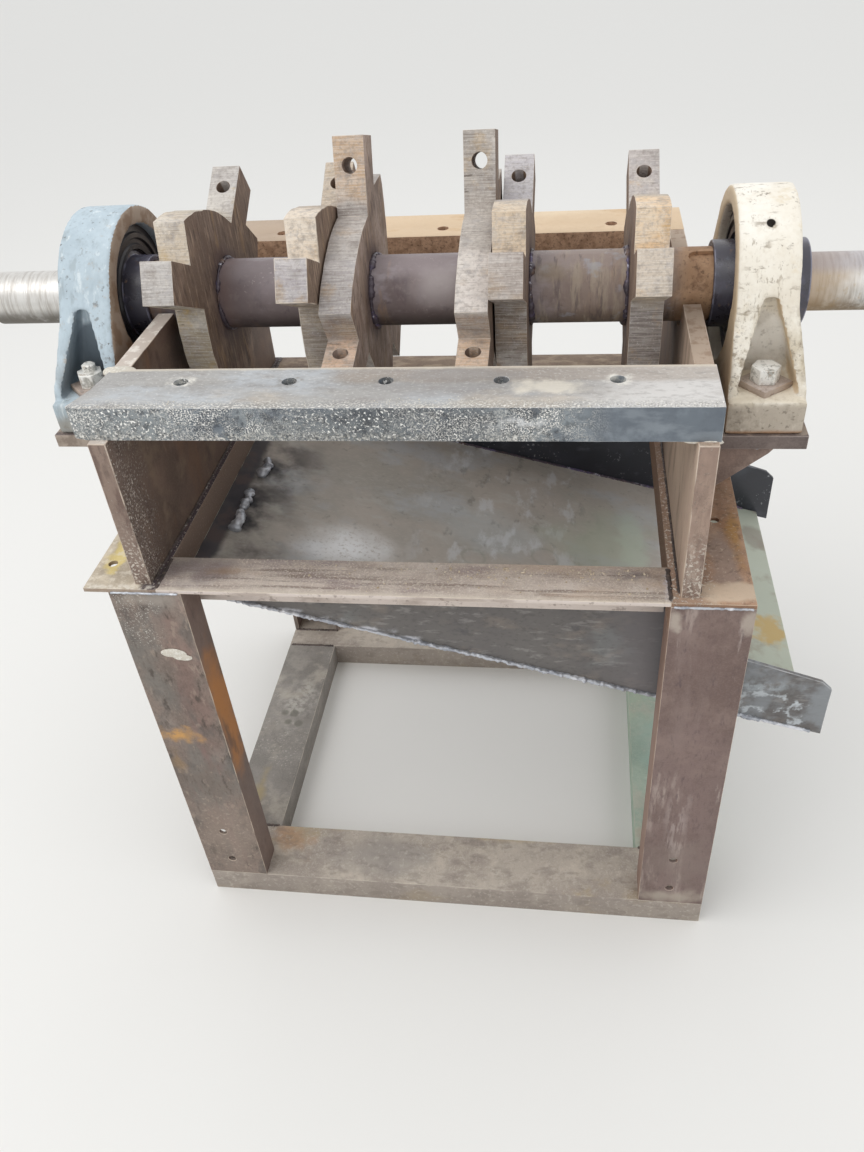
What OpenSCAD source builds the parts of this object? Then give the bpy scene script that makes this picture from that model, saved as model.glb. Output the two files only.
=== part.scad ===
// Hammer crusher: unfinished lower housing with bare rotor, on a stand of channel iron.
// Millimetres. X runs along the rotor, Y from the front to the rear, Z up from the floor.

/* [Stand] */
// Width over the legs
stand_w = 822; // [700:1:1000]
// Depth over the legs
stand_d = 670; // [600:1:800]
// Height of the top rails' upper face
rail_top = 682; // [550:1:800]
// Width of the channel iron
channel_h = 100; // [90:1:120]
// Length of the channel's flanges
channel_b = 50; // [40:1:55]
// Thickness of the channel's web
channel_web = 6; // [4:0.5:8]
// Thickness of the channel's flanges
channel_flange = 8; // [6:0.5:10]
// How far the left top rail sticks out beyond the left legs
rail_out_left = 33; // [10:1:40]
// Leg length of the angle iron of the front and rear top rails
angle_leg = 70; // [60:1:80]
// Thickness of the angle iron
angle_t = 6; // [5:0.5:6]

/* [Housing] */
// Clear width between the side walls
inner_w = 675; // [640:1:700]
// Thickness of the side walls
wall_t = 22.5; // [16:0.5:26]
// How far the side walls' ends stand inside the stand's depth
wall_set = 10; // [7:1:20]
// How far the right wall stands inside the right rail's outer edge
wall_in_right = 66; // [60:1:72]
// Height of the flange bars' upper face
bar_top = 937; // [900:1:960]
// Thickness of the flange bars
bar_t = 42; // [35:1:50]
// Width of the flange bars
bar_w = 98; // [80:1:100]
// Distance between the two flange bars
bar_gap = 436; // [430:1:460]
// Length of the front bar beyond the left wall's outer face
bar_over = 20; // [5:1:30]
// Diameter of the holes in the flange bars
bar_hole_d = 18; // [14:1:22]
// Distance from a bar's inner edge to its holes
bar_hole_in = 34; // [25:1:45]
// Distance between the holes of the rear bar
bar_hole_pitch = 129; // [110:1:140]

/* [Chute] */
// Thickness of the chute plates
chute_t = 6; // [4:0.5:8]
// Height of the chute floor at its left end
chute_left_z = 636; // [633:1:640]
// Fall of the chute floor over its whole length
chute_fall = 234; // [200:1:240]
// Length of the chute floor
chute_l = 870; // [840:1:880]

/* [Rotor] */
// Diameter of the shaft between the bearings
shaft_d = 92; // [80:1:94]
// Diameter of the turned shaft ends
stub_d = 72; // [60:1:80]
// Whole length of the shaft
shaft_l = 1260; // [1240:1:1300]
// Height of the shaft axis
axis_z = 942; // [938:1:950]
// Thickness of the arm plates
plate_t = 40; // [32:1:41]
// Distance from the axis to an arm's tip
arm_r = 192; // [185:1:200]
// Width of an arm
arm_w = 51.5; // [45:0.5:56]
// Distance from the axis to the centre of an arm's hole
arm_hole_r = 157; // [152:1:164]
// Diameter of the holes in the arms
arm_hole_d = 20; // [14:1:24]
// Turn of the first plate's arms from the front
turn_a = 26; // [20:1:32]
// Turn of the second plate's arms from the front
turn_b = 105; // [98:1:112]
// Clearance between the left wall and the first plate
plate_gap_left = 23.5; // [18:0.5:30]
// Clearance between the right wall and the last plate
plate_gap_right = 27.5; // [18:0.5:30]
// Gap between the two plates of a pair
pair_gap = 3; // [1:0.5:6]

/* [Bearings] */
// Length of a pillow block's base
block_l = 380; // [370:1:400]
// Width of a pillow block
block_w = 90; // [80:1:94]
// Height of the axis above a pillow block's base
block_h = 113; // [110:1:118]
// Radius of the pillow block's arch
arch_r = 119; // [112:1:122]
// How far an arch leans in from its foot on the outer side
lean_out = 13; // [2:1:14]
// How far an arch leans in from its foot on the wall side
lean_in = 4; // [2:1:14]
// Thickness of a foot
foot_t = 44; // [38:1:48]
// Distance between a wall and its pillow block
block_off = 26; // [20:1:32]
// Diameter of the bearing's outer ring
ring_d = 190; // [180:1:196]
// Diameter of the bearing's inner ring
inner_d = 122; // [116:1:130]
// Diameter of the collars beside the bearing
collar_d = 108; // [100:1:112]
// Thickness of a bracket plate
bracket_t = 18; // [12:1:20]
// Distance from the axis plane to a foot bolt
bolt_y = 148; // [140:1:154]
// Side of the square washer plates
washer_s = 47; // [36:1:47]

/* [Hidden] */
fine = 64;
mid = 32;
hex = 6;
slack = 1;
run_fit = 0.05;
half_w = stand_w / 2;
half_d = stand_d / 2;
rail_y = half_d - channel_web;
rail_left_x = -half_w - rail_out_left;
rail_right_x = half_w - channel_h;
rail_web_z = rail_top - channel_web;
rail_low = rail_top - channel_b;
wall_right = half_w - wall_in_right;
wall_right_in = wall_right - wall_t;
wall_left_in = wall_right_in - inner_w;
wall_left = wall_left_in - wall_t;
wall_d = stand_d - 2 * wall_set;
bar_low = bar_top - bar_t;
bar_in = bar_gap / 2;
bar_out = bar_in + bar_w;
notch_gap = 6;
notch_r = shaft_d / 2 + notch_gap;
front_holes = [-273.5, -140.5, -25.5, 107.5, 237.5];
bar_hole_y = bar_in + bar_hole_in;
rear_centre_x = -18;
rear_side_holes = 2;
bar_over_right = 2;
bar_corner = 18;
bar_corner_in = 5;
bar_slant = 14;
bar_slant_in = 52;
cheek_y = half_d - angle_leg;
chute_left_x = rail_left_x + channel_h;
chute_right_x = chute_left_x + chute_l;
cheek_over = 20;
cheek_tip = 92;
cheek_rise = 40;
cheek_cut = 14;
cheek_clear = 6;
cheek_lap = 4;
leg_hole_r = 6.5;
leg_hole_z = [89, 163];
leg_hole_in = 46;
rail_hole_r = 6.5;
rail_hole_left = [21, -282];
rail_hole_right = [67, -161];
shoulder_out = 14;
shoulder_left = wall_left - block_off - block_w - shoulder_out;
shoulder_right = wall_right + block_off + block_w + shoulder_out;
block_right_x = wall_right + block_off;
block_left_x = wall_left - block_off - block_w;
block_low = axis_z - block_h;
bracket_out = 8;
bracket_end = 3;
bracket_w = block_off + block_w + bracket_out;
bracket_l = block_l + 2 * bracket_end;
gusset_t = 12;
gusset_w = 90;
gusset_h = 78;
gusset_nose = 10;
gusset_cut = 8;
rib_t = 11;
core_y = 108;
pocket_top = 30;
pocket_sill = 10;
pocket_top_w = 14;
lean_top = 20;
foot_lap = 1;
rib_foot_y = 176;
arch_lip = 8;
ring_w = 52;
collar_len = 13;
bolt_r = 10;
bolt_hole_r = 11;
washer_t = 8;
head_t = 19;
head_r = 17.5;
nut_t = 16;
bolt_end = 8;
grease_r = 4;
grease_turn = 55;
key_w = 20;
key_deep = 7;
key_left = 338;
key_len = 40;
key_turn = 68;
step_r = 132;
arms = 3;
arm_step = 360 / arms;
washer_turn_left = 45;
washer_turn_right = 39;
pair_pitch = plate_t + pair_gap;
groups = 3;
group_pitch = (inner_w - plate_gap_left - plate_gap_right - plate_t - 2 * pair_pitch) / groups;
plate_1 = wall_left_in + plate_gap_left + plate_t / 2;
plate_2 = plate_1 + group_pitch;
plate_3 = plate_2 + pair_pitch;
plate_4 = plate_3 + group_pitch;
plate_5 = plate_4 + pair_pitch;
plate_6 = plate_5 + group_pitch;
// Outline of one hump between two arms: [along the arm, across the arm]
hump = [[145, 76], [130, 84], [111, 91], [75, 99.5], [36, 103.5], [5, 101.5], [-26, 96]];

// A box from its low corner to its high corner
module span(lo, hi) {
    translate(lo)
    cube(hi - lo);
}

// Channel iron lying along X with its web on top, flanges down to z = 0
module channel_x(len) {
    difference() {
        span([0, 0, 0], [len, channel_h, channel_b]);
        span([-slack, channel_flange, -slack],
            [len + slack, channel_h - channel_flange, channel_b - channel_web]);
    }
}

// Channel iron lying along Y with its web on top
module channel_y(len) {
    difference() {
        span([0, 0, 0], [channel_h, len, channel_b]);
        span([channel_flange, -slack, -slack],
            [channel_h - channel_flange, len + slack, channel_b - channel_web]);
    }
}

// Upright channel with its web to the front; the flanges end at flange_top, the web under the rail's web
module leg(x, flange_top) {
    difference() {
        span([x, -half_d, channel_b], [x + channel_h, -half_d + channel_b, rail_web_z]);
        span([x + channel_flange, -rail_y, channel_b - slack],
            [x + channel_h - channel_flange, -half_d + channel_b + slack, rail_top]);
        span([x - slack, -rail_y, flange_top],
            [x + channel_h + slack, -half_d + channel_b + slack, rail_top]);
        for (z = leg_hole_z)
            translate([x + leg_hole_in, -half_d - slack, z])
            rotate([-90, 0, 0])
            cylinder(h = channel_web + 2 * slack, r = leg_hole_r, $fn = mid);
    }
}

module leg_front_left() {
    color("#6b5648")
    leg(-half_w, rail_web_z);
}

module leg_front_right() {
    color("#5d4a44")
    leg(half_w - channel_h, rail_low);
}

module leg_rear_left() {
    color("#6b5648")
    mirror([0, 1, 0])
    leg(-half_w, rail_web_z);
}

module leg_rear_right() {
    color("#5d4a44")
    mirror([0, 1, 0])
    leg(half_w - channel_h, rail_low);
}

module base_rail_front() {
    color("#8f8578")
    translate([-half_w, -half_d, 0])
    channel_x(stand_w);
}

module base_rail_rear() {
    color("#8f8578")
    translate([-half_w, half_d - channel_h, 0])
    channel_x(stand_w);
}

module base_rail_left() {
    color("#8a8b88")
    translate([-half_w, -half_d + channel_h, 0])
    channel_y(stand_d - 2 * channel_h);
}

module base_rail_right() {
    color("#9fb3a0")
    translate([half_w - channel_h, -half_d + channel_h, 0])
    channel_y(stand_d - 2 * channel_h);
}

// Angle iron between the side rails: one leg flat on top, the other hanging at the inner edge
module angle_rail() {
    x0 = chute_left_x;
    x1 = rail_right_x;
    difference() {
        span([x0, -half_d, rail_top - angle_leg], [x1, -cheek_y, rail_top]);
        span([x0 - slack, -half_d - slack, rail_top - angle_leg - slack],
            [x1 + slack, -cheek_y - angle_t, rail_top - angle_t]);
    }
}

module top_rail_front() {
    color("#a08770")
    angle_rail();
}

module top_rail_rear() {
    color("#7d6a5c")
    mirror([0, 1, 0])
    angle_rail();
}

module rail_hole(x, y) {
    translate([x, y, rail_web_z - slack])
    cylinder(h = channel_web + 2 * slack, r = rail_hole_r, $fn = mid);
}

// Side rail: its web reaches over the legs' webs, its flanges stop behind them
module side_rail(x) {
    difference() {
        translate([x, -half_d, rail_low])
        channel_y(stand_d);
        for (side = [-1, 1])
            translate([x - slack, side * half_d - channel_web, rail_low - slack])
            cube([channel_h + 2 * slack, 2 * channel_web, channel_b - channel_web + slack]);
    }
}

// The left rail is an angle: it has no flange on its outer edge
module top_rail_left() {
    color("#b5aa96")
    difference() {
        side_rail(rail_left_x);
        translate([rail_left_x - slack, -half_d - slack, rail_low - slack])
        cube([2 * channel_flange, stand_d + 2 * slack, channel_b - channel_web + slack]);
        rail_hole(rail_left_x + rail_hole_left[0], rail_hole_left[1]);
    }
}

module top_rail_right() {
    color("#a5683c")
    difference() {
        side_rail(rail_right_x);
        rail_hole(rail_right_x + rail_hole_right[0], rail_hole_right[1]);
    }
}

// Side wall on its rail: stepped for the flange bars and notched for the shaft
module side_wall(x) {
    difference() {
        span([x, -wall_d / 2, rail_top], [x + wall_t, wall_d / 2, bar_top]);
        for (side = [-1, 1])
            translate([x - slack, side * (bar_in + bar_w) - bar_w, bar_low])
            cube([wall_t + 2 * slack, 2 * bar_w, bar_t + slack]);
        translate([x - slack, 0, axis_z])
        rotate([0, 90, 0])
        cylinder(h = wall_t + 2 * slack, r = notch_r, $fn = fine);
    }
}

module side_wall_left() {
    color("#5f463a")
    side_wall(wall_left);
}

module side_wall_right() {
    color("#6b4a3c")
    side_wall(wall_right_in);
}

module bar_hole(x, y) {
    translate([x, y, bar_low - slack])
    cylinder(h = bar_t + 2 * slack, d = bar_hole_d, $fn = mid);
}

// Front bar: its left end is torch-cut at a slant
module flange_bar_front() {
    end_x = wall_left - bar_over;
    right_x = wall_right + bar_over_right;
    color("#6f7c84")
    difference() {
        translate([0, 0, bar_low])
        linear_extrude(bar_t)
        polygon([[end_x + bar_corner, -bar_out], [right_x, -bar_out], [right_x, -bar_in],
            [wall_left, -bar_in], [end_x + bar_slant, -bar_in - bar_slant_in],
            [end_x, -bar_out + bar_corner_in]]);
        for (x = front_holes)
            bar_hole(x, -bar_hole_y);
    }
}

module flange_bar_rear() {
    color("#b59a7c")
    difference() {
        span([wall_left, bar_in, bar_low], [wall_right, bar_out, bar_top]);
        for (k = [-rear_side_holes:rear_side_holes])
            bar_hole(rear_centre_x + k * bar_hole_pitch, bar_hole_y);
    }
}

// Upper edge of the chute floor at x
function chute_z(x) = chute_left_z - (x - chute_left_x) * chute_fall / chute_l;

// A plate standing on edge along X, drawn as [x, z] points, from y0 to y1
module upright(points, y0, y1) {
    translate([0, y1, 0])
    rotate([90, 0, 0])
    linear_extrude(y1 - y0)
    polygon(points);
}

module chute_floor() {
    color("#9aa08c")
    upright([[chute_left_x, chute_left_z], [chute_right_x, chute_z(chute_right_x)],
        [chute_right_x, chute_z(chute_right_x) - chute_t], [chute_left_x, chute_left_z - chute_t]],
        -cheek_y + chute_t, cheek_y - chute_t);
}

// Side cheek of the chute: behind the cross rail, under the right rail and out at the right
module chute_cheek(y0) {
    end_x = chute_right_x + cheek_over;
    tip_z = chute_z(end_x) + cheek_tip;
    low = chute_t + cheek_lap;
    upright([[chute_left_x, chute_z(chute_left_x) - low], [end_x, chute_z(end_x) - low],
        [end_x, tip_z - cheek_cut], [end_x - cheek_cut, tip_z],
        [half_w + cheek_clear, tip_z + cheek_rise], [half_w, rail_low - cheek_clear],
        [rail_right_x - cheek_clear, rail_low - cheek_clear],
        [rail_right_x - cheek_clear, rail_top - angle_t - cheek_clear],
        [chute_left_x, rail_top - angle_t - cheek_clear]],
        y0, y0 + chute_t);
}

module chute_cheek_front() {
    color("#4b5350")
    chute_cheek(-cheek_y);
}

module chute_cheek_rear() {
    color("#23262c")
    chute_cheek(cheek_y - chute_t);
}

module bracket_hole(x, y) {
    translate([x, y, block_low - bracket_t - slack])
    cylinder(h = bracket_t + 2 * slack, r = bolt_hole_r, $fn = mid);
}

// Bracket plate welded to a wall's outer face
module bracket_plate(x, bolt_x) {
    difference() {
        span([x, -bracket_l / 2, block_low - bracket_t], [x + bracket_w, bracket_l / 2, block_low]);
        for (side = [-1, 1])
            bracket_hole(bolt_x, side * bolt_y);
    }
}

module bracket_plate_left() {
    color("#59504c")
    bracket_plate(wall_left - bracket_w, block_left_x + block_w / 2);
}

module bracket_plate_right() {
    color("#6a5f5c")
    bracket_plate(wall_right, block_right_x + block_w / 2);
}

// Two triangular gussets under a bracket plate, out from the wall at x in the direction of way
module gussets(x, way) {
    top = block_low - bracket_t;
    for (side = [-1, 1])
        upright([[x, top], [x + way * gusset_w, top], [x + way * (gusset_w - gusset_cut), top - gusset_nose],
            [x, top - gusset_h]],
            side * (bracket_l / 2 - gusset_t) - gusset_t / 2,
            side * (bracket_l / 2 - gusset_t) + gusset_t / 2);
}

module gussets_left() {
    color("#5f4d44")
    gussets(wall_left, -1);
}

module gussets_right() {
    color("#6f5246")
    gussets(wall_right, 1);
}

// Side shape of a pillow block: a round arch that runs down to the base, [y, z] from the axis
module arch_shape(reach, top_r, low) {
    foot = [reach, low + arch_lip];
    lean = atan2(foot[0], foot[1]) - acos(top_r / norm(foot));
    union() {
        circle(r = top_r, $fn = fine);
        polygon([[-reach, low], [reach, low], foot, [top_r * sin(lean), top_r * cos(lean)],
            [-top_r * sin(lean), top_r * cos(lean)], [-reach, low + arch_lip]]);
    }
}

// Turns a [y, z] shape into a slab from x0 to x1 around the axis
module slab_yz(x0, x1) {
    translate([x0, 0, axis_z])
    rotate([90, 0, 90])
    linear_extrude(x1 - x0)
    children();
}

// Pocket between the two ribs of an arch: narrow at the top, wide at the foot, out from core_y on one side
module pocket(side) {
    low = foot_t - block_h;
    reach = block_w / 2 - rib_t;
    y0 = side > 0 ? core_y : -block_l;
    y1 = side > 0 ? block_l : -core_y;
    translate([0, 0, axis_z])
    upright([[-reach, low], [reach, low], [reach, low + pocket_sill], [pocket_top_w / 2, pocket_top],
        [-pocket_top_w / 2, pocket_top], [-reach, low + pocket_sill]], y0, y1);
}

// Wedge that lets one side of an arch lean in by depth from just above its foot up to lean_top
module lean(side, depth) {
    foot = foot_t - block_h + pocket_sill;
    out = side * block_w / 2;
    beyond = side * (block_w / 2 + slack);
    top = arch_r + slack;
    translate([0, 0, axis_z])
    upright([[out, foot], [out - side * depth, lean_top], [out - side * depth, top], [beyond, top],
        [beyond, foot]],
        -block_l, block_l);
}

// A pillow block whose outer side lies towards side
module pillow_block(x, side_out) {
    low = foot_t - block_h - foot_lap;
    difference() {
        union() {
            span([x, -block_l / 2, block_low], [x + block_w, block_l / 2, block_low + foot_t]);
            slab_yz(x, x + block_w)
            arch_shape(rib_foot_y, arch_r, low);
        }
        for (side = [-1, 1])
            translate([x + block_w / 2, 0, 0])
            pocket(side);
        translate([x + block_w / 2, 0, 0])
        lean(side_out, lean_out);
        translate([x + block_w / 2, 0, 0])
        lean(-side_out, lean_in);
        span([x - slack, -arch_r, block_low - arch_r], [x + block_w + slack, arch_r, block_low]);
        translate([x - slack, 0, axis_z])
        rotate([0, 90, 0])
        cylinder(h = block_w + 2 * slack, d = ring_d, $fn = fine);
        for (side = [-1, 1])
            translate([x + block_w / 2, side * bolt_y, block_low - slack])
            cylinder(h = foot_t + 2 * slack, r = bolt_hole_r, $fn = mid);
        translate([x + block_w / 2, 0, axis_z])
        rotate([90 - grease_turn, 0, 0])
        cylinder(h = arch_r + slack, r = grease_r, $fn = mid);
    }
}

module pillow_block_left() {
    color("#a9b8c4")
    pillow_block(block_left_x, -1);
}

module pillow_block_right() {
    color("#ddd5c0")
    pillow_block(block_right_x, 1);
}

// A ring around the axis
module ring(x, w, d_out, d_in) {
    translate([x, 0, axis_z])
    rotate([0, 90, 0])
    difference() {
        cylinder(h = w, d = d_out, $fn = fine);
        translate([0, 0, -slack])
        cylinder(h = w + 2 * slack, d = d_in, $fn = fine);
    }
}

module outer_ring(x) {
    ring(x + (block_w - ring_w) / 2, ring_w, ring_d, inner_d + 2 * run_fit);
}

module outer_ring_left() {
    color("#33302f")
    outer_ring(block_left_x);
}

module outer_ring_right() {
    color("#33302f")
    outer_ring(block_right_x);
}

// Inner ring of the bearing with a collar on each side
module inner_ring(x) {
    translate([x, 0, axis_z])
    rotate([0, 90, 0])
    difference() {
        union() {
            translate([0, 0, -collar_len])
            cylinder(h = block_w + 2 * collar_len, d = collar_d, $fn = fine);
            translate([0, 0, (block_w - ring_w) / 2])
            cylinder(h = ring_w, d = inner_d, $fn = fine);
        }
        translate([0, 0, -collar_len - slack])
        cylinder(h = block_w + 2 * collar_len + 2 * slack, d = shaft_d, $fn = fine);
    }
}

module inner_ring_left() {
    color("#4a4550")
    inner_ring(block_left_x);
}

module inner_ring_right() {
    color("#4a4550")
    inner_ring(block_right_x);
}

// Foot bolt with its head on the washer plate and its nut under the bracket plate
module foot_bolt(x, y) {
    head_z = block_low + foot_t + washer_t;
    nut_z = block_low - bracket_t - nut_t;
    translate([x, y, 0])
    union() {
        translate([0, 0, head_z])
        cylinder(h = head_t, r = head_r, $fn = hex);
        translate([0, 0, nut_z - bolt_end])
        cylinder(h = head_z - nut_z + bolt_end + slack, r = bolt_r, $fn = mid);
        translate([0, 0, nut_z])
        cylinder(h = nut_t, r = head_r, $fn = hex);
    }
}

module foot_bolts(x) {
    for (side = [-1, 1])
        foot_bolt(x + block_w / 2, side * bolt_y);
}

module foot_bolts_left() {
    color("#b9b6ae")
    foot_bolts(block_left_x);
}

module foot_bolts_right() {
    color("#b9b6ae")
    foot_bolts(block_right_x);
}

// Square washer plates lying corner to the front
module washer_plates(x, turn) {
    for (side = [-1, 1])
        translate([x + block_w / 2, side * bolt_y, block_low + foot_t])
        rotate([0, 0, turn])
        difference() {
            translate([-washer_s / 2, -washer_s / 2, 0])
            cube([washer_s, washer_s, washer_t]);
            translate([0, 0, -slack])
            cylinder(h = washer_t + 2 * slack, r = bolt_hole_r, $fn = mid);
        }
}

module washer_plates_left() {
    color("#6e5a58")
    washer_plates(block_left_x, washer_turn_left);
}

module washer_plates_right() {
    color("#6e5a58")
    washer_plates(block_right_x, washer_turn_right);
}

module shaft() {
    color("#7b5a48")
    translate([0, 0, axis_z])
    difference() {
        rotate([0, 90, 0])
        union() {
            translate([0, 0, -shaft_l / 2])
            cylinder(h = shaft_l, d = stub_d, $fn = fine);
            translate([0, 0, shoulder_left])
            cylinder(h = shoulder_right - shoulder_left, d = shaft_d, $fn = fine);
        }
        rotate([90 - key_turn, 0, 0])
        union() {
            span([key_left, -key_w / 2, shaft_d / 2 - key_deep],
                [key_left + key_len, key_w / 2, shaft_d / 2 + slack]);
            translate([key_left, 0, shaft_d / 2 - key_deep])
            cylinder(h = key_deep + slack, d = key_w, $fn = mid);
        }
    }
}

// Outline of an arm plate in [along the first arm, across it], three arms with a hump behind each
function turned(p, a) = [p[0] * cos(a) - p[1] * sin(a), p[0] * sin(a) + p[1] * cos(a)];
one_arm = concat([[arm_r, -arm_w / 2], [arm_r, arm_w / 2], [step_r, arm_w / 2]], hump);
arm_outline = [for (k = [0:arms - 1]) for (p = one_arm) turned(p, k * arm_step)];

module arm_plate(x, turn) {
    translate([x - plate_t / 2, 0, axis_z])
    rotate([90, 0, 90])
    mirror([1, 0, 0])
    rotate([0, 0, turn])
    difference() {
        linear_extrude(plate_t)
        polygon(arm_outline);
        translate([0, 0, -slack])
        cylinder(h = plate_t + 2 * slack, d = shaft_d, $fn = fine);
        for (k = [0:arms - 1])
            rotate([0, 0, k * arm_step])
            translate([arm_hole_r, -arm_w / 2 - slack, plate_t / 2])
            rotate([-90, 0, 0])
            cylinder(h = arm_w + 2 * slack, d = arm_hole_d, $fn = mid);
    }
}

module arm_plate_1() {
    color("#9a8f82")
    arm_plate(plate_1, turn_a);
}

module arm_plate_2() {
    color("#9a8f82")
    arm_plate(plate_2, turn_a);
}

module arm_plate_3() {
    color("#a3917b")
    arm_plate(plate_3, turn_b);
}

module arm_plate_4() {
    color("#a3917b")
    arm_plate(plate_4, turn_b);
}

module arm_plate_5() {
    color("#9a8f82")
    arm_plate(plate_5, turn_a);
}

module arm_plate_6() {
    color("#9a8f82")
    arm_plate(plate_6, turn_a);
}

leg_front_left();
leg_front_right();
leg_rear_left();
leg_rear_right();
base_rail_front();
base_rail_rear();
base_rail_left();
base_rail_right();
top_rail_front();
top_rail_rear();
top_rail_left();
top_rail_right();
side_wall_left();
side_wall_right();
flange_bar_front();
flange_bar_rear();
chute_floor();
chute_cheek_front();
chute_cheek_rear();
bracket_plate_left();
bracket_plate_right();
gussets_left();
gussets_right();
pillow_block_left();
pillow_block_right();
outer_ring_left();
outer_ring_right();
foot_bolts_left();
foot_bolts_right();
washer_plates_left();
washer_plates_right();
shaft();
arm_plate_1();
arm_plate_2();
arm_plate_3();
arm_plate_4();
arm_plate_5();
arm_plate_6();
inner_ring_left();
inner_ring_right();
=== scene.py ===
import math
import random
from functools import partial

import bpy
from bpy.props import FloatProperty, FloatVectorProperty, IntProperty, PointerProperty
from mathutils import Matrix, Vector


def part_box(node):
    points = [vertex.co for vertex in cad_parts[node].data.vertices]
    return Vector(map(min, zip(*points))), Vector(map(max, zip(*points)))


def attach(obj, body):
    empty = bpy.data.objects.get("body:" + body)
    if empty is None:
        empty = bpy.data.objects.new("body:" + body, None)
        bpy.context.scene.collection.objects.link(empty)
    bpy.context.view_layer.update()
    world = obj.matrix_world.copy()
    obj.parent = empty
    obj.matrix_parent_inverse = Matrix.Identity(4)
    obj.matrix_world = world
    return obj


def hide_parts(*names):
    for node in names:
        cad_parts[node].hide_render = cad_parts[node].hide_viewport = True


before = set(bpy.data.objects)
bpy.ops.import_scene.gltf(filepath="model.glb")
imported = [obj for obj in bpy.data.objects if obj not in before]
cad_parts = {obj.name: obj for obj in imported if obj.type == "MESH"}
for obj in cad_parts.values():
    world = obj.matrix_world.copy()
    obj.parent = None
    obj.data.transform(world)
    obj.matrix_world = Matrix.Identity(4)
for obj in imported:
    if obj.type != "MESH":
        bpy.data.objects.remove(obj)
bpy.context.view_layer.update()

bl_info = {
    "name": "Hammer crusher dressing",
    "version": (1, 0, 0),
    "blender": (4, 5, 0),
    "location": "3D View > Sidebar > Crusher",
    "description": "Dresses an unfinished hammer crusher housing and its rotor",
    "category": "Object",
}

MM = 0.001
MERGE = 1e-5
FLAT_ANGLE = math.radians(2)
EDGE_ANGLE = math.radians(30)
SMOOTH_ANGLE = math.radians(38)
X_AXIS = (1.0, 0.0, 0.0)
Y_AXIS = (0.0, 1.0, 0.0)
Z_AXIS = (0.0, 0.0, 1.0)
LEFT = (-1.0, 0.0, 0.0)
FRONT = (0.0, -1.0, 0.0)
EVEN = (1.0, 1.0, 1.0)
CLOUD_ROUGHNESS = 0.62
SEED = 41
EDGE_NAME = "edge_wear"


# ---------------------------------------------------------------- places

def low(node):
    """Lowest corner of a node's box."""
    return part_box(node)[0]


def high(node):
    """Highest corner of a node's box."""
    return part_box(node)[1]


def middle(node):
    """Centre of a node's box."""
    a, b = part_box(node)
    return (a + b) / 2


AXIS = middle("shaft")
WALL_L = high("side_wall_left").x
WALL_L_OUT = low("side_wall_left").x
WALL_R = low("side_wall_right").x
WALL_R_OUT = high("side_wall_right").x
WALL_Y = high("side_wall_right").y
RAIL_TOP = high("top_rail_right").z
STAND_Y = high("base_rail_rear").y
BAR_TOP = high("flange_bar_front").z
BAR_LOW = low("flange_bar_front").z
BAR_OUT = high("flange_bar_rear").y
BAR_IN = low("flange_bar_rear").y
FLOOR_X = low("chute_floor").x
FLOOR_Z = high("chute_floor").z
FLOOR_END = high("chute_floor").x
FLOOR_LOW = low("chute_floor").z
CHEEK_Y = high("chute_cheek_rear").y
BRACKET_LOW = low("bracket_plate_right").z
BRACKET_TOP = high("bracket_plate_right").z
PLATES = ["arm_plate_%d" % k for k in range(1, 7)]

# in millimetres, as the finishes are placed
LEG_X = 361
STAND_FRONT = -335
RAIL_MM = 682
AXIS_MM = 942
CHEEK_FRONT = -265
FRONT_HOLES = (-273.5, -140.5, -25.5, 107.5, 237.5)
REAR_HOLES = (-276, -147, -18, 111, 240)
HOLE_RADIUS = 9.6


# ---------------------------------------------------------------- settings

def length_prop(name, note, value, least=0.0):
    """A length, given in millimetres and kept in metres."""
    return FloatProperty(name=name, description=note, default=value * MM, min=least * MM, unit="LENGTH")


class CrusherSizes(bpy.types.PropertyGroup):
    steel_edge: length_prop("Steel edge", "Rounding of sawn and sheared edges", 1.2)
    thin_edge: length_prop("Thin edge", "Rounding of the edges of thin rolled steel", 0.9)
    cast_voxel: length_prop("Casting grain", "Mesh size of the cast bearing housings", 3.2, 1.5)
    cast_rough: length_prop("Casting unevenness", "Height of the sand-cast unevenness", 1.1)
    bead: length_prop("Weld bead", "Half the width of a weld bead", 5.0, 1.0)
    bead_voxel: length_prop("Bead grain", "Mesh size of the weld beads", 1.3, 0.5)
    crumb: length_prop("Crumb", "Largest radius of a sand or cement crumb", 1.9, 0.5)
    crumbs: IntProperty(name="Crumbs", description="Number of crumbs on the rail, and on the bar", default=260, min=0)
    head_radius: length_prop("Bolt head", "Corner radius of a foot bolt's head", 17.5, 5.0)
    seal_gap: length_prop("Seal gap", "Gap between a bearing seal and the inner ring", 1.2, 0.2)


def colour_prop(name, note, value):
    return FloatVectorProperty(name=name, description=note, subtype="COLOR", size=3, min=0.0, max=1.0,
                               default=linear(value))


def linear(text):
    """A screen colour as the linear values that shaders take."""
    out = []
    for k in (0, 2, 4):
        c = int(text[k:k + 2], 16) / 255
        out.append(c / 12.92 if c <= 0.04045 else ((c + 0.055) / 1.055) ** 2.4)
    return tuple(out)


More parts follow.
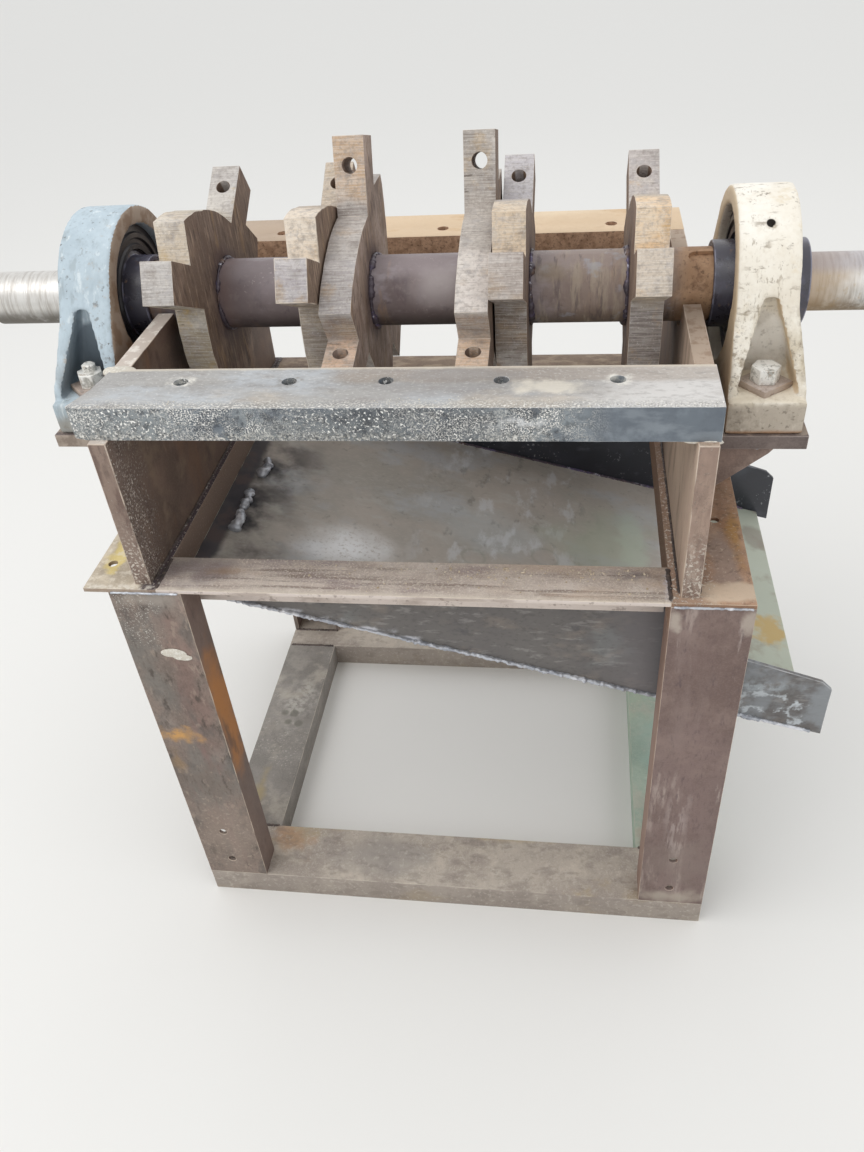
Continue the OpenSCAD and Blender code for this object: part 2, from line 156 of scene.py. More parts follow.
class CrusherColours(bpy.types.PropertyGroup):
    rust: colour_prop("Rust", "Brown rust of the side walls", "6f5b50")
    old_rust: colour_prop("Old rust", "Dark purple-brown rust of the right legs", "7b6863")
    bright_rust: colour_prop("Bright rust", "Orange fresh rust on the front left leg", "ad743e")
    sand: colour_prop("Sand", "Dry sand and cement dust", "cdbda6")
    cement: colour_prop("Cement", "Splashed cement", "d0c9bc")
    slate: colour_prop("Slate steel", "Blue-grey mill scale", "6c747c")
    blue_paint: colour_prop("Blue paint", "Paint of the left bearing housing", "b6c4cc")
    cream_paint: colour_prop("Cream paint", "Paint of the right bearing housing", "ebe4d6")
    bright_steel: colour_prop("Bright steel", "Turned shaft ends", "dcdad6")
    floor: colour_prop("Floor", "Colour of the studio floor", "e9e7e3")


def sizes():
    return bpy.context.scene.crusher_sizes


def colours():
    return bpy.context.scene.crusher_colours


# ---------------------------------------------------------------- shared node groups

def new_group(name, inputs, outputs):
    group = bpy.data.node_groups.new(name, "ShaderNodeTree")
    for label, kind, value in inputs:
        socket = group.interface.new_socket(label, in_out="INPUT", socket_type=kind)
        socket.default_value = value
    for label, kind in outputs:
        group.interface.new_socket(label, in_out="OUTPUT", socket_type=kind)
    return group, group.nodes.new("NodeGroupInput"), group.nodes.new("NodeGroupOutput")


def put(tree, kind, **values):
    node = tree.nodes.new(kind)
    for key, value in values.items():
        setattr(node, key, value)
    return node


def fill(tree, socket, value):
    """Links a socket or sets a plain value."""
    if isinstance(value, bpy.types.NodeSocket):
        tree.links.new(value, socket)
    elif value is not None:
        socket.default_value = value


def maths(tree, operation, *values):
    node = put(tree, "ShaderNodeMath", operation=operation)
    for k, value in enumerate(values):
        fill(tree, node.inputs[k], value)
    return node.outputs[0]


def vector(tree, operation, *values):
    node = put(tree, "ShaderNodeVectorMath", operation=operation)
    for k, value in enumerate(values):
        fill(tree, node.inputs[k], value)
    return node.outputs["Value" if operation in ("DOT_PRODUCT", "LENGTH") else "Vector"]


def smooth_range(tree, value, start, end):
    node = put(tree, "ShaderNodeMapRange", interpolation_type="SMOOTHSTEP")
    fill(tree, node.inputs["Value"], value)
    fill(tree, node.inputs["From Min"], start)
    fill(tree, node.inputs["From Max"], end)
    return node.outputs["Result"]


F, V = "NodeSocketFloat", "NodeSocketVector"


def own_place(group, given):
    """A point of the piece, stretched and shifted as the group is told."""
    place = group.nodes.new("ShaderNodeTexCoord").outputs["Object"]
    if "Stretch" in given.outputs:
        place = vector(group, "MULTIPLY", place, given.outputs["Stretch"])
    if "Shift" in given.outputs:
        place = vector(group, "ADD", place, given.outputs["Shift"])
    return place


def noise_at(group, place, scale, detail=None):
    noise = put(group, "ShaderNodeTexNoise")
    fill(group, noise.inputs["Vector"], place)
    fill(group, noise.inputs["Scale"], scale)
    fill(group, noise.inputs["Detail"], detail)
    return noise


def swing_of(group, noise, width):
    """The noise as a swing to both sides of nothing, as wide as told."""
    return maths(group, "MULTIPLY", maths(group, "SUBTRACT", noise.outputs["Fac"], 0.5), width)


def make_blotch():
    group, given, out = new_group(
        "Blotches", [("Scale", F, 10.0), ("Detail", F, 5.0), ("Low", F, 0.45), ("High", F, 0.6),
                     ("Stretch", V, (1, 1, 1)), ("Shift", V, (0, 0, 0))], [("Mask", F)])
    place = own_place(group, given)
    noise = noise_at(group, place, given.outputs["Scale"], given.outputs["Detail"])
    noise.inputs["Roughness"].default_value = CLOUD_ROUGHNESS
    mask = smooth_range(group, noise.outputs["Fac"], given.outputs["Low"], given.outputs["High"])
    fill(group, out.inputs["Mask"], mask)
    return group


def make_specks():
    group, given, out = new_group(
        "Specks", [("Scale", F, 200.0), ("Amount", F, 0.3), ("Stretch", V, (1, 1, 1)), ("Shift", V, (0, 0, 0))],
        [("Mask", F)])
    place = own_place(group, given)
    cells = put(group, "ShaderNodeTexVoronoi")
    fill(group, cells.inputs["Vector"], place)
    fill(group, cells.inputs["Scale"], given.outputs["Scale"])
    pick = group.nodes.new("ShaderNodeSeparateColor")
    fill(group, pick.inputs[0], cells.outputs["Color"])
    edge = maths(group, "MULTIPLY", maths(group, "POWER", pick.outputs[0], 2.5), given.outputs["Amount"])
    inner = maths(group, "MULTIPLY", edge, 0.5)
    ragged = noise_at(group, place, maths(group, "MULTIPLY", given.outputs["Scale"], 2.5))
    off = maths(group, "MULTIPLY_ADD", ragged.outputs["Fac"], 0.5, -0.25)
    away = maths(group, "ADD", cells.outputs["Distance"], off)
    mask = maths(group, "SUBTRACT", 1.0, smooth_range(group, away, inner, edge))
    fill(group, out.inputs["Mask"], mask)
    return group


def make_patch():
    group, given, out = new_group(
        "Patch", [("Centre", V, (0, 0, 0)), ("Radius", V, (0.1, 0.1, 0.1)), ("Ragged", F, 0.5), ("Scale", F, 25.0),
                  ("Soft", F, 0.5)], [("Mask", F)])
    place = own_place(group, given)
    away = vector(group, "SUBTRACT", place, given.outputs["Centre"])
    away = vector(group, "DIVIDE", away, given.outputs["Radius"])
    length = vector(group, "LENGTH", away)
    noise = noise_at(group, place, given.outputs["Scale"], 4.0)
    swing = maths(group, "MULTIPLY", swing_of(group, noise, 2.0), given.outputs["Ragged"])
    reach = maths(group, "ADD", length, swing)
    start = maths(group, "SUBTRACT", 1.0, given.outputs["Soft"])
    mask = maths(group, "SUBTRACT", 1.0, smooth_range(group, reach, start, 1.0))
    fill(group, out.inputs["Mask"], mask)
    return group


def make_facing():
    group, given, out = new_group(
        "Facing", [("Axis", V, (0, 0, 1)), ("Low", F, 0.6), ("High", F, 0.9)], [("Mask", F), ("Slope", F)])
    normal = group.nodes.new("ShaderNodeTexCoord").outputs["Normal"]
    slope = vector(group, "DOT_PRODUCT", normal, given.outputs["Axis"])
    mask = smooth_range(group, slope, given.outputs["Low"], given.outputs["High"])
    fill(group, out.inputs["Mask"], mask)
    fill(group, out.inputs["Slope"], maths(group, "ABSOLUTE", slope))
    return group


def make_span():
    group, given, out = new_group(
        "Span", [("Axis", V, (1, 0, 0)), ("Start", F, 0.0), ("End", F, 1.0), ("Ragged", F, 0.0), ("Scale", F, 40.0)],
        [("Mask", F)])
    place = own_place(group, given)
    along = vector(group, "DOT_PRODUCT", place, given.outputs["Axis"])
    swing = swing_of(group, noise_at(group, place, given.outputs["Scale"]), given.outputs["Ragged"])
    mask = smooth_range(group, maths(group, "ADD", along, swing), given.outputs["Start"], given.outputs["End"])
    fill(group, out.inputs["Mask"], mask)
    return group


def make_edge():
    group, given, out = new_group("Worn edge", [("Scale", F, 60.0), ("Shift", V, (0, 0, 0))], [("Mask", F)])
    turn = put(group, "ShaderNodeAttribute", attribute_name=EDGE_NAME).outputs["Fac"]
    noise = noise_at(group, own_place(group, given), given.outputs["Scale"], 3.0)
    worn = smooth_range(group, noise.outputs["Fac"], 0.35, 0.6)
    fill(group, out.inputs["Mask"], maths(group, "MULTIPLY", turn, worn))
    return group


def make_crest():
    group, given, out = new_group("Worn crest", [("Low", F, 0.52), ("High", F, 0.6)], [("Mask", F)])
    crest = group.nodes.new("ShaderNodeNewGeometry").outputs["Pointiness"]
    fill(group, out.inputs["Mask"], smooth_range(group, crest, given.outputs["Low"], given.outputs["High"]))
    return group


GROUPS = {}


def group_for(kind):
    makers = {"blotch": make_blotch, "specks": make_specks, "patch": make_patch, "facing": make_facing,
              "span": make_span, "edge": make_edge, "crest": make_crest}
    if kind not in GROUPS:
        GROUPS[kind] = makers[kind]()
    return GROUPS[kind]


# ---------------------------------------------------------------- materials

class Finish:
    """One procedural material, laid on in layers from the bare colour up."""

    def __init__(self, name, colour, rough=0.75, metal=0.0, specular=0.4):
        self.material = bpy.data.materials.new(name)
        self.material.use_nodes = True
        self.tree = self.material.node_tree
        self.tree.nodes.clear()
        self.shader = put(self.tree, "ShaderNodeBsdfPrincipled")
        self.shader.inputs["Specular IOR Level"].default_value = specular
        out = put(self.tree, "ShaderNodeOutputMaterial")
        self.tree.links.new(self.shader.outputs[0], out.inputs["Surface"])
        self.colour = self.paint(colour)
        self.rough = rough
        self.metal = metal
        self.height = None
        self.seed = sum(map(ord, name)) * 0.37

    def paint(self, colour):
        """A written colour or one of the settings, with full cover."""
        return (*(linear(colour) if isinstance(colour, str) else colour), 1.0)

    def mask(self, kind, out="Mask", **values):
        node = put(self.tree, "ShaderNodeGroup")
        node.node_tree = group_for(kind)
        for label, value in values.items():
            fill(self.tree, node.inputs[label], value)
        return node.outputs[out]

    def shift(self):
        """Another part of the endless pattern for each mask that is drawn."""
        self.seed += 1.73
        return (self.seed, self.seed * 0.61, self.seed * 0.29)

    def blotch(self, scale, start, end, stretch=EVEN, detail=5.0):
        return self.mask("blotch", Scale=scale, Low=start, High=end, Stretch=stretch, Detail=detail,
                         Shift=self.shift())

    def specks(self, scale, amount):
        return self.mask("specks", Scale=scale, Amount=amount, Shift=self.shift())

    def patch(self, centre, radius, ragged=0.5, scale=25.0, soft=0.5):
        centre = tuple(c * MM for c in centre)
        radius = tuple(r * MM for r in radius)
        return self.mask("patch", Centre=centre, Radius=radius, Ragged=ragged, Scale=scale, Soft=soft)

    def facing(self, axis=Z_AXIS, start=0.6, end=0.9):
        return self.mask("facing", Axis=axis, Low=start, High=end)

    def span(self, axis, start, end, ragged=0.0, scale=40.0):
        return self.mask("span", Axis=axis, Start=start * MM, End=end * MM, Ragged=ragged * MM, Scale=scale)

    def edge(self, scale=60.0):
        return self.mask("edge", Scale=scale, Shift=self.shift())

    def crest(self):
        return self.mask("crest")

    def both(self, *masks):
        mask = masks[0]
        for other in masks[1:]:
            mask = maths(self.tree, "MULTIPLY", mask, other)
        return mask

    def outside(self, mask):
        return maths(self.tree, "SUBTRACT", 1.0, mask)

    def lay(self, mask, colour=None, amount=1.0, rough=None, metal=None, height=0.0):
        """Lays a colour, gloss or height where the mask is white."""
        part = mask if amount == 1.0 else maths(self.tree, "MULTIPLY", mask, amount)
        if colour is not None:
            mix = put(self.tree, "ShaderNodeMix", data_type="RGBA")
            fill(self.tree, mix.inputs["Factor"], part)
            fill(self.tree, mix.inputs[6], self.colour)
            fill(self.tree, mix.inputs[7], self.paint(colour))
            self.colour = mix.outputs[2]
        if rough is not None:
            self.rough = self.blend(part, self.rough, rough)
        if metal is not None:
            self.metal = self.blend(part, self.metal, metal)
        if height:
            rise = maths(self.tree, "MULTIPLY", part, height)
            self.height = rise if self.height is None else maths(self.tree, "ADD", self.height, rise)

    def cloud(self, where, scale, start, end, colour, amount=1.0, stretch=EVEN, height=0.0, detail=5.0, **more):
        """Lays one clouded layer, all over or only where the given mask or masks are white."""
        masks = () if where is None else where if isinstance(where, tuple) else (where,)
        mask = self.both(*masks, self.blotch(scale, start, end, stretch, detail))
        self.lay(mask, colour, amount, height=height, **more)

    def stains(self, where, *rows):
        """Lays clouded layers one on another; a row holds what cloud takes after where."""
        for row in rows:
            self.cloud(where, *row)

    def blend(self, part, a, b):
        """One value turning into another where the part is white."""
        mix = put(self.tree, "ShaderNodeMix", data_type="FLOAT")
        fill(self.tree, mix.inputs["Factor"], part)
        fill(self.tree, mix.inputs[2], a)
        fill(self.tree, mix.inputs[3], b)
        return mix.outputs[0]

    def done(self, relief=0.6):
        """Wires the layers to the shader; relief is the height of a full step in millimetres."""
        fill(self.tree, self.shader.inputs["Base Color"], self.colour)
        fill(self.tree, self.shader.inputs["Roughness"], self.rough)
        fill(self.tree, self.shader.inputs["Metallic"], self.metal)
        if self.height is not None:
            bump = put(self.tree, "ShaderNodeBump")
            bump.inputs["Distance"].default_value = relief * MM
            bump.inputs["Strength"].default_value = 1.0
            fill(self.tree, bump.inputs["Height"], self.height)
            fill(self.tree, self.shader.inputs["Normal"], bump.outputs["Normal"])
        return self.material


FINISHES = {}


def finish_for(name):
    """Builds a finish the first time it is asked for."""
    if name not in FINISHES:
        FINISHES[name] = RECIPES[name]()
    return FINISHES[name]


def weathered(name, base, dark, light, rough=0.78, scale=9, grit=True):
    """Old rolled steel: broad cloudy stains, finer scabs, grain and fine scratches."""
    f = Finish(name, base, rough)
    f.cloud(None, scale, 0.42, 0.62, dark, 0.8)
    f.cloud(None, scale * 2.3, 0.5, 0.66, light, 0.6, height=0.3)
    f.cloud(None, scale * 9, 0.48, 0.7, dark, 0.45, height=-0.5)
    if grit:
        f.cloud(None, 420, 0.42, 0.68, light, 0.28, height=0.5, detail=2)
        f.lay(f.specks(330, 0.42), dark, 0.45, height=-0.3)
    return f


def leg_brown():
    f = weathered("leg_brown", "85756b", "6b6059", "998a80", scale=7)
    f.stains(None,
             (6, 0.5, 0.68, "777570", 0.6, (1.6, 1, 0.7)),
             (11, 0.54, 0.68, "846a64", 0.55, (2.6, 1, 0.6)))
    f.lay(f.patch((-338, STAND_FRONT, 500), (34, 40, 210), 1, 26, 0.9), "856860", 0.45)
    f.lay(f.patch((-388, STAND_FRONT, 520), (40, 40, 120), 1, 26, 0.9), "6d6f6a", 0.5)
    f.lay(f.patch((-LEG_X, STAND_FRONT, 290), (60, 60, 60), 0.9, 30, 0.9), "75675d", 0.5)
    f.stains(None,
             (16, 0.54, 0.66, "5c5753", 0.6, (1.6, 1, 0.7)),
             (38, 0.56, 0.68, "4b423c", 0.75, (1.4, 1, 0.6)),
             (60, 0.56, 0.68, "a59486", 0.45, (1.4, 1, 0.6)),
             (150, 0.5, 0.66, "5f544c", 0.4, (1.4, 1, 0.7)))
    yellow = f.patch((-380, STAND_FRONT, 398), (44, 40, 20), 1, 44, 0.9)
    f.cloud(yellow, 60, 0.24, 0.5, "c8985a", 0.9)
    f.lay(f.patch((-398, STAND_FRONT, 350), (14, 40, 46), 1, 40, 1), "a08258", 0.45)
    f.lay(f.patch((-LEG_X, STAND_FRONT, 150), (70, 60, 150), 0.8, 18, 0.9), "938478", 0.6)
    f.cloud(f.patch((-LEG_X, STAND_FRONT, 160), (70, 60, 150), 0.8), 160, 0.54, 0.66, "b5a798", 0.4)
    inner = f.facing(X_AXIS, 0.5)
    # the inner side faces are laid darker brown: partly rust, partly painted shade
    f.lay(inner, "6b5850", 0.75)
    f.lay(f.both(inner, f.patch((-311, -305, 430), (30, 50, 150), 0.9, 20, 0.8)), colours().bright_rust, 0.85)
    f.cloud(inner, 26, 0.54, 0.68, "4e433f", 0.6, (1, 1, 0.3))
    f.lay(f.patch((-LEG_X, STAND_FRONT, 666), (70, 60, 22), 0.9, 40, 0.9), "b0a69b", 0.5, height=0.5)
    grains = f.both(f.patch((-390, STAND_FRONT, 645), (50, 60, 80), 1), f.blotch(480, 0.56, 0.64))
    f.lay(grains, "ded8cd", 0.7, height=1)
    f.lay(f.edge(30), "c4b4a2", 0.8, rough=0.55)
    return f.done(0.5)


def leg_dark():
    f = weathered("leg_dark", colours().old_rust, "695751", "8b7870", scale=5)
    f.cloud(None, 9, 0.5, 0.68, "86756f", 0.5, (2.2, 1, 0.5))
    f.cloud(f.blotch(13, 0.54, 0.68, (2.4, 1, 0.45)), 70, 0.4, 0.62, "b0a198", 0.6, (2, 1, 0.3), 0.3)
    f.cloud(f.blotch(40, 0.61, 0.68, (2.2, 1, 0.22)), 8, 0.5, 0.62, "b5a79f", 0.5)
    f.stains(None,
             (60, 0.6, 0.72, "54474a", 0.55, (1.6, 1, 0.5)),
             (170, 0.54, 0.68, "5d4f4e", 0.4, (1.6, 1, 0.5)))
    place = f.patch((352, STAND_FRONT, 250), (26, 60, 120), 1, 20, 1)
    runs = f.both(place, f.blotch(50, 0.5, 0.62, (2, 1, 0.3)))
    f.lay(runs, "b9aca6", 0.5)
    for x in (318, 405):
        f.lay(f.patch((x, STAND_FRONT, 655), (12, 60, 26), 1, 50, 0.8), "b0a498", 0.8)
    f.lay(f.patch((LEG_X, STAND_FRONT, 66), (80, 60, 24), 0.9, 30, 0.9), "a89d90", 0.8)
    f.lay(f.patch((LEG_X, STAND_FRONT, 160), (80, 60, 80), 0.9, 30, 1), "867870", 0.5)
    f.lay(f.facing(LEFT, 0.5), "94796a", 0.75)
    f.lay(f.edge(20), "cdbcac", 0.8, rough=0.5)
    return f.done(0.4)


def rail_base(name, base, dark, light, tint):
    f = weathered(name, base, dark, light, scale=8)
    f.cloud(None, 11, 0.55, 0.68, tint, 0.6, (0.6, 0.6, 1))
    top = f.facing(Z_AXIS)
    f.cloud(top, 15, 0.5, 0.66, "c2b8aa", 0.5, height=0.5)
    f.cloud((top, f.blotch(230, 0.56, 0.63)), 13, 0.45, 0.62, "ddd6ca", 0.35, height=0.8)
    f.lay(f.facing(FRONT, 0.5), "8a8078", 0.55)
    f.lay(f.edge(25), "cfc4b4", 0.55)
    return f


def base_front():
    f = rail_base("base_front_finish", "b3a89c", "968b82", "c6baab", "b39f7c")
    f.lay(f.patch((-290, -262, 50), (60, 45, 30), 1, 30, 0.8), "b58a62", 0.6)
    f.lay(f.patch((-120, -285, 50), (160, 50, 30), 1, 12, 0.9), "8f8984", 0.6)
    f.stains(None,
             (60, 0.5, 0.64, "7d736b", 0.4, (0.5, 1, 1)),
             (130, 0.54, 0.64, "cbc1b5", 0.3, EVEN, 0.5))
    f.lay(f.patch((110, -215, 50), (120, 30, 30), 1, 20, 0.8), "bda574", 0.5)
    return f.done(0.6)


def base_left():
    f = rail_base("base_left_finish", "8f8983", "77726c", "a39c93", "968c80")
    f.cloud(f.patch((-350, 60, 50), (42, 90, 30), 1, 24, 0.9), 90, 0.4, 0.58, "bdb7ae", 0.7, height=0.5)
    for x, y, r in ((-352, 34, 11), (-360, 12, 10), (-338, 8, 11), (-372, 36, 10)):
        f.lay(f.patch((x, y, 50), (r, r, 20), 0.5, 60, 0.5), "6f6c62", 0.7)
    f.lay(f.patch((-372, -150, 50), (16, 80, 30), 1, 30, 0.9), "a8935f", 0.5)
    return f.done(0.5)


def base_right():
    f = rail_base("base_right_finish", "a9b8a8", "93a496", "bcc8b8", "b3bfa8")
    f.lay(f.patch((LEG_X, 0, 50), (40, 120, 30), 0.8, 18), "a0b8ac", 0.5)
    f.lay(f.patch((LEG_X, -235, 50), (60, 60, 40), 0.7, 18), "9a7f6a", 0.85)
    f.lay(f.patch((LEG_X, 230, 50), (60, 60, 40), 0.7, 18), "8d7866", 0.8)
    return f.done(0.4)


def rail_front():
    f = weathered("rail_front_finish", "cdbeb2", "a9988d", "dbcfc5", scale=8)
    top = f.facing(Z_AXIS)
    f.stains(top,
             (16, 0.44, 0.64, "d8cabc", 0.6, (0.16, 1.6, 1), 0.3),
             (44, 0.54, 0.64, "75645a", 0.65, (0.1, 2.2, 1), -0.4),
             (13, 0.54, 0.66, "8a787c", 0.5, (0.5, 1.2, 1)),
             (90, 0.5, 0.66, "9c8a7e", 0.4, (0.3, 1.2, 1)),
             (330, 0.52, 0.62, "e6dacc", 0.6, EVEN, 0.8))
    f.cloud((top, f.blotch(260, 0.52, 0.62)), 20, 0.4, 0.62, "dacdbd", 0.7, (0.4, 1, 1), 0.9)
    f.cloud((top, f.span(X_AXIS, 40, 160, 90, 8)), 18, 0.4, 0.6, "c9b09a", 0.5, (0.3, 1, 1))
    f.lay(f.both(top, f.span(Y_AXIS, -324, -334, 6)), "dfd2c2", 0.6, height=0.6)
    f.lay(f.patch((-310, -292, RAIL_MM), (90, 44, 30), 1, 24, 1), "6b5e62", 0.62)
    f.lay(f.patch((-252, -292, RAIL_MM), (44, 14, 20), 1, 40, 1), "a98660", 0.4)
    f.lay(f.patch((272, -284, RAIL_MM), (40, 12, 20), 1, 50, 1), "645a5e", 0.6)
    spatter = f.both(f.patch((318, -300, RAIL_MM), (18, 40, 20), 1, 60, 0.8), f.blotch(120, 0.36, 0.54))
    f.lay(spatter, "d9d5de", 0.9, height=1)
    front = f.facing(FRONT, 0.5)
    f.lay(front, "d4c8c0", 0.8)
    f.stains(front,
             (24, 0.5, 0.66, "9a8a7f", 0.6, (0.5, 1, 1)),
             (110, 0.56, 0.66, "7a6a60", 0.5))
    f.lay(f.edge(30), "e2d6c4", 0.7)
    return f.done(0.7)


def rail_rear():
    f = weathered("rail_rear_finish", "93806f", "75645a", "ab9785", scale=8)
    f.cloud(f.facing(Z_AXIS), 60, 0.48, 0.62, "bda992", 0.6, (0.5, 1, 1), 0.6)
    f.lay(f.edge(30), "b9a896", 0.6)
    return f.done(0.6)


def rail_left():
    f = weathered("rail_left_finish", "cbbda8", "a79a88", "ded2bc", scale=8)
    f.lay(f.patch((-422, -268, RAIL_MM), (20, 40, 30), 0.8, 40), "e2cd86", 0.8)
    inner = f.span(X_AXIS, -372, -360, 6, 30)
    # painted shade: the inner strip of the rail is laid near black, with dark stains clouded over it
    f.lay(inner, "463a40", 0.97)
    f.stains(inner,
             (22, 0.52, 0.66, "5f4a46", 0.6),
             (30, 0.58, 0.68, "3c343c", 0.7))
    f.lay(f.both(inner, f.blotch(280, 0.58, 0.64), f.span(X_AXIS, -330, -345, 10)), "c9bdb0", 0.8, height=0.8)
    near = f.span(Y_AXIS, -322, -330, 8)
    f.cloud(near, 120, 0.4, 0.6, "ddd5c8", 0.7, height=0.6)
    f.cloud((f.facing(Z_AXIS), f.outside(inner)), 80, 0.5, 0.62, "e5dccb", 0.5, height=0.6)
    f.lay(f.outside(f.facing(Z_AXIS, 0.3, 0.7)), "8f7a6a", 0.75)
    f.lay(f.edge(25), "e6dccb", 0.7)
    return f.done(0.5)


def rail_right():
    f = weathered("rail_right_finish", "b29078", "96765f", "c6a486", scale=9)
    f.stains(None,
             (7, 0.5, 0.66, "a67c5a", 0.6),
             (20, 0.55, 0.68, "988a88", 0.6),
             (70, 0.56, 0.68, "6f5a4c", 0.5))
    f.lay(f.patch((380, -236, RAIL_MM), (26, 70, 30), 0.8, 24), "93867f", 0.55)
    f.lay(f.patch((400, -190, RAIL_MM), (14, 80, 30), 0.9, 30, 0.8), "b3884c", 0.75)
    wall_foot = f.span(X_AXIS, 372, 348, 14, 60)
    f.lay(wall_foot, "967f70", 0.6)
    f.lay(f.both(wall_foot, f.blotch(240, 0.54, 0.62), f.span(Y_AXIS, 120, -200)), "e6dccf", 0.9, height=1)
    f.cloud(f.facing(Z_AXIS), 130, 0.54, 0.66, "6f5b4d", 0.5)
    f.cloud(f.facing(Z_AXIS), 250, 0.58, 0.66, "cdbba6", 0.5, height=0.6)
    f.lay(f.both(f.patch((385, -312, RAIL_MM), (60, 22, 20), 0.7, 30)), "cdb9a2", 0.8, height=0.5)
    f.lay(f.outside(f.facing(Z_AXIS, 0.3, 0.7)), "7d5e48", 0.7)
    f.lay(f.edge(25), "d6c2aa", 0.65)
    return f.done(0.6)


def wall_coat(name, side):
    f = weathered(name, colours().rust, "564840", "84705f", scale=6)
    f.stains(None,
             (6, 0.5, 0.68, "7f5f48", 0.65, (1, 1.4, 0.6)),
             (18, 0.56, 0.7, "50403a", 0.75, (1, 1.5, 0.5)),
             (24, 0.6, 0.72, "a08776", 0.4, (1, 1, 0.25)))
    near = f.span(Y_AXIS, -230, -318, 40, 18)
    f.lay(near, "6d5f58", 0.55)
    f.cloud((near, f.blotch(330, 0.54, 0.6)), 20, 0.36, 0.6, "c9bfb4", 0.8, height=0.7)
    f.cloud(near, 230, 0.6, 0.65, "e0d7cc", 0.8, height=0.9)
    f.lay(f.both(near, f.specks(260, 0.5)), "2f2724", 0.7)
    f.lay(f.facing(FRONT), "8f7c70" if side < 0 else "957f72", 0.85)
    front = f.facing(FRONT)
    f.stains(front,
             (40, 0.5, 0.62, "6c5850", 0.75, (1, 1, 0.3)),
             (30, 0.56, 0.68, "c2b2a4", 0.6, (1, 1, 0.2)),
             (70, 0.54, 0.66, "64544b", 0.5, (1, 1, 0.3)))
    f.cloud((front, f.span(Z_AXIS, 800, 700, 60, 20)), 260, 0.52, 0.6, "e2d8cb", 0.85, height=1)
    top = f.facing(Z_AXIS)
    f.lay(top, "c9bdb2" if side < 0 else "b3a08e", 0.9)
    f.cloud(top, 60, 0.5, 0.64, "ece6dc" if side < 0 else "8f7763", 0.7, height=0.5)
    f.lay(f.facing((side, 0, 0), 0.6, 0.9), "7c6556", 0.5)
    f.lay(f.edge(30), "d9c9b8", 0.75)
    return f


def wall_left():
    return wall_coat("wall_left_finish", -1).done(0.5)


def wall_right():
    f = wall_coat("wall_right_finish", 1)
    inner = f.both(f.facing(LEFT), f.span(Y_AXIS, 60, -60, 80, 8))
    f.lay(inner, "d0b9a4", 0.85)
    f.stains(inner,
             (16, 0.5, 0.66, "7d6657", 0.6, (1, 2, 0.4)),
             (70, 0.54, 0.66, "a6917f", 0.5, (1, 2, 0.4)))
    f.cloud(f.span(Y_AXIS, -180, -300, 40, 12), 10, 0.44, 0.6, "b89f8e", 0.65, (1, 2.4, 0.3))
    return f.done(0.5)


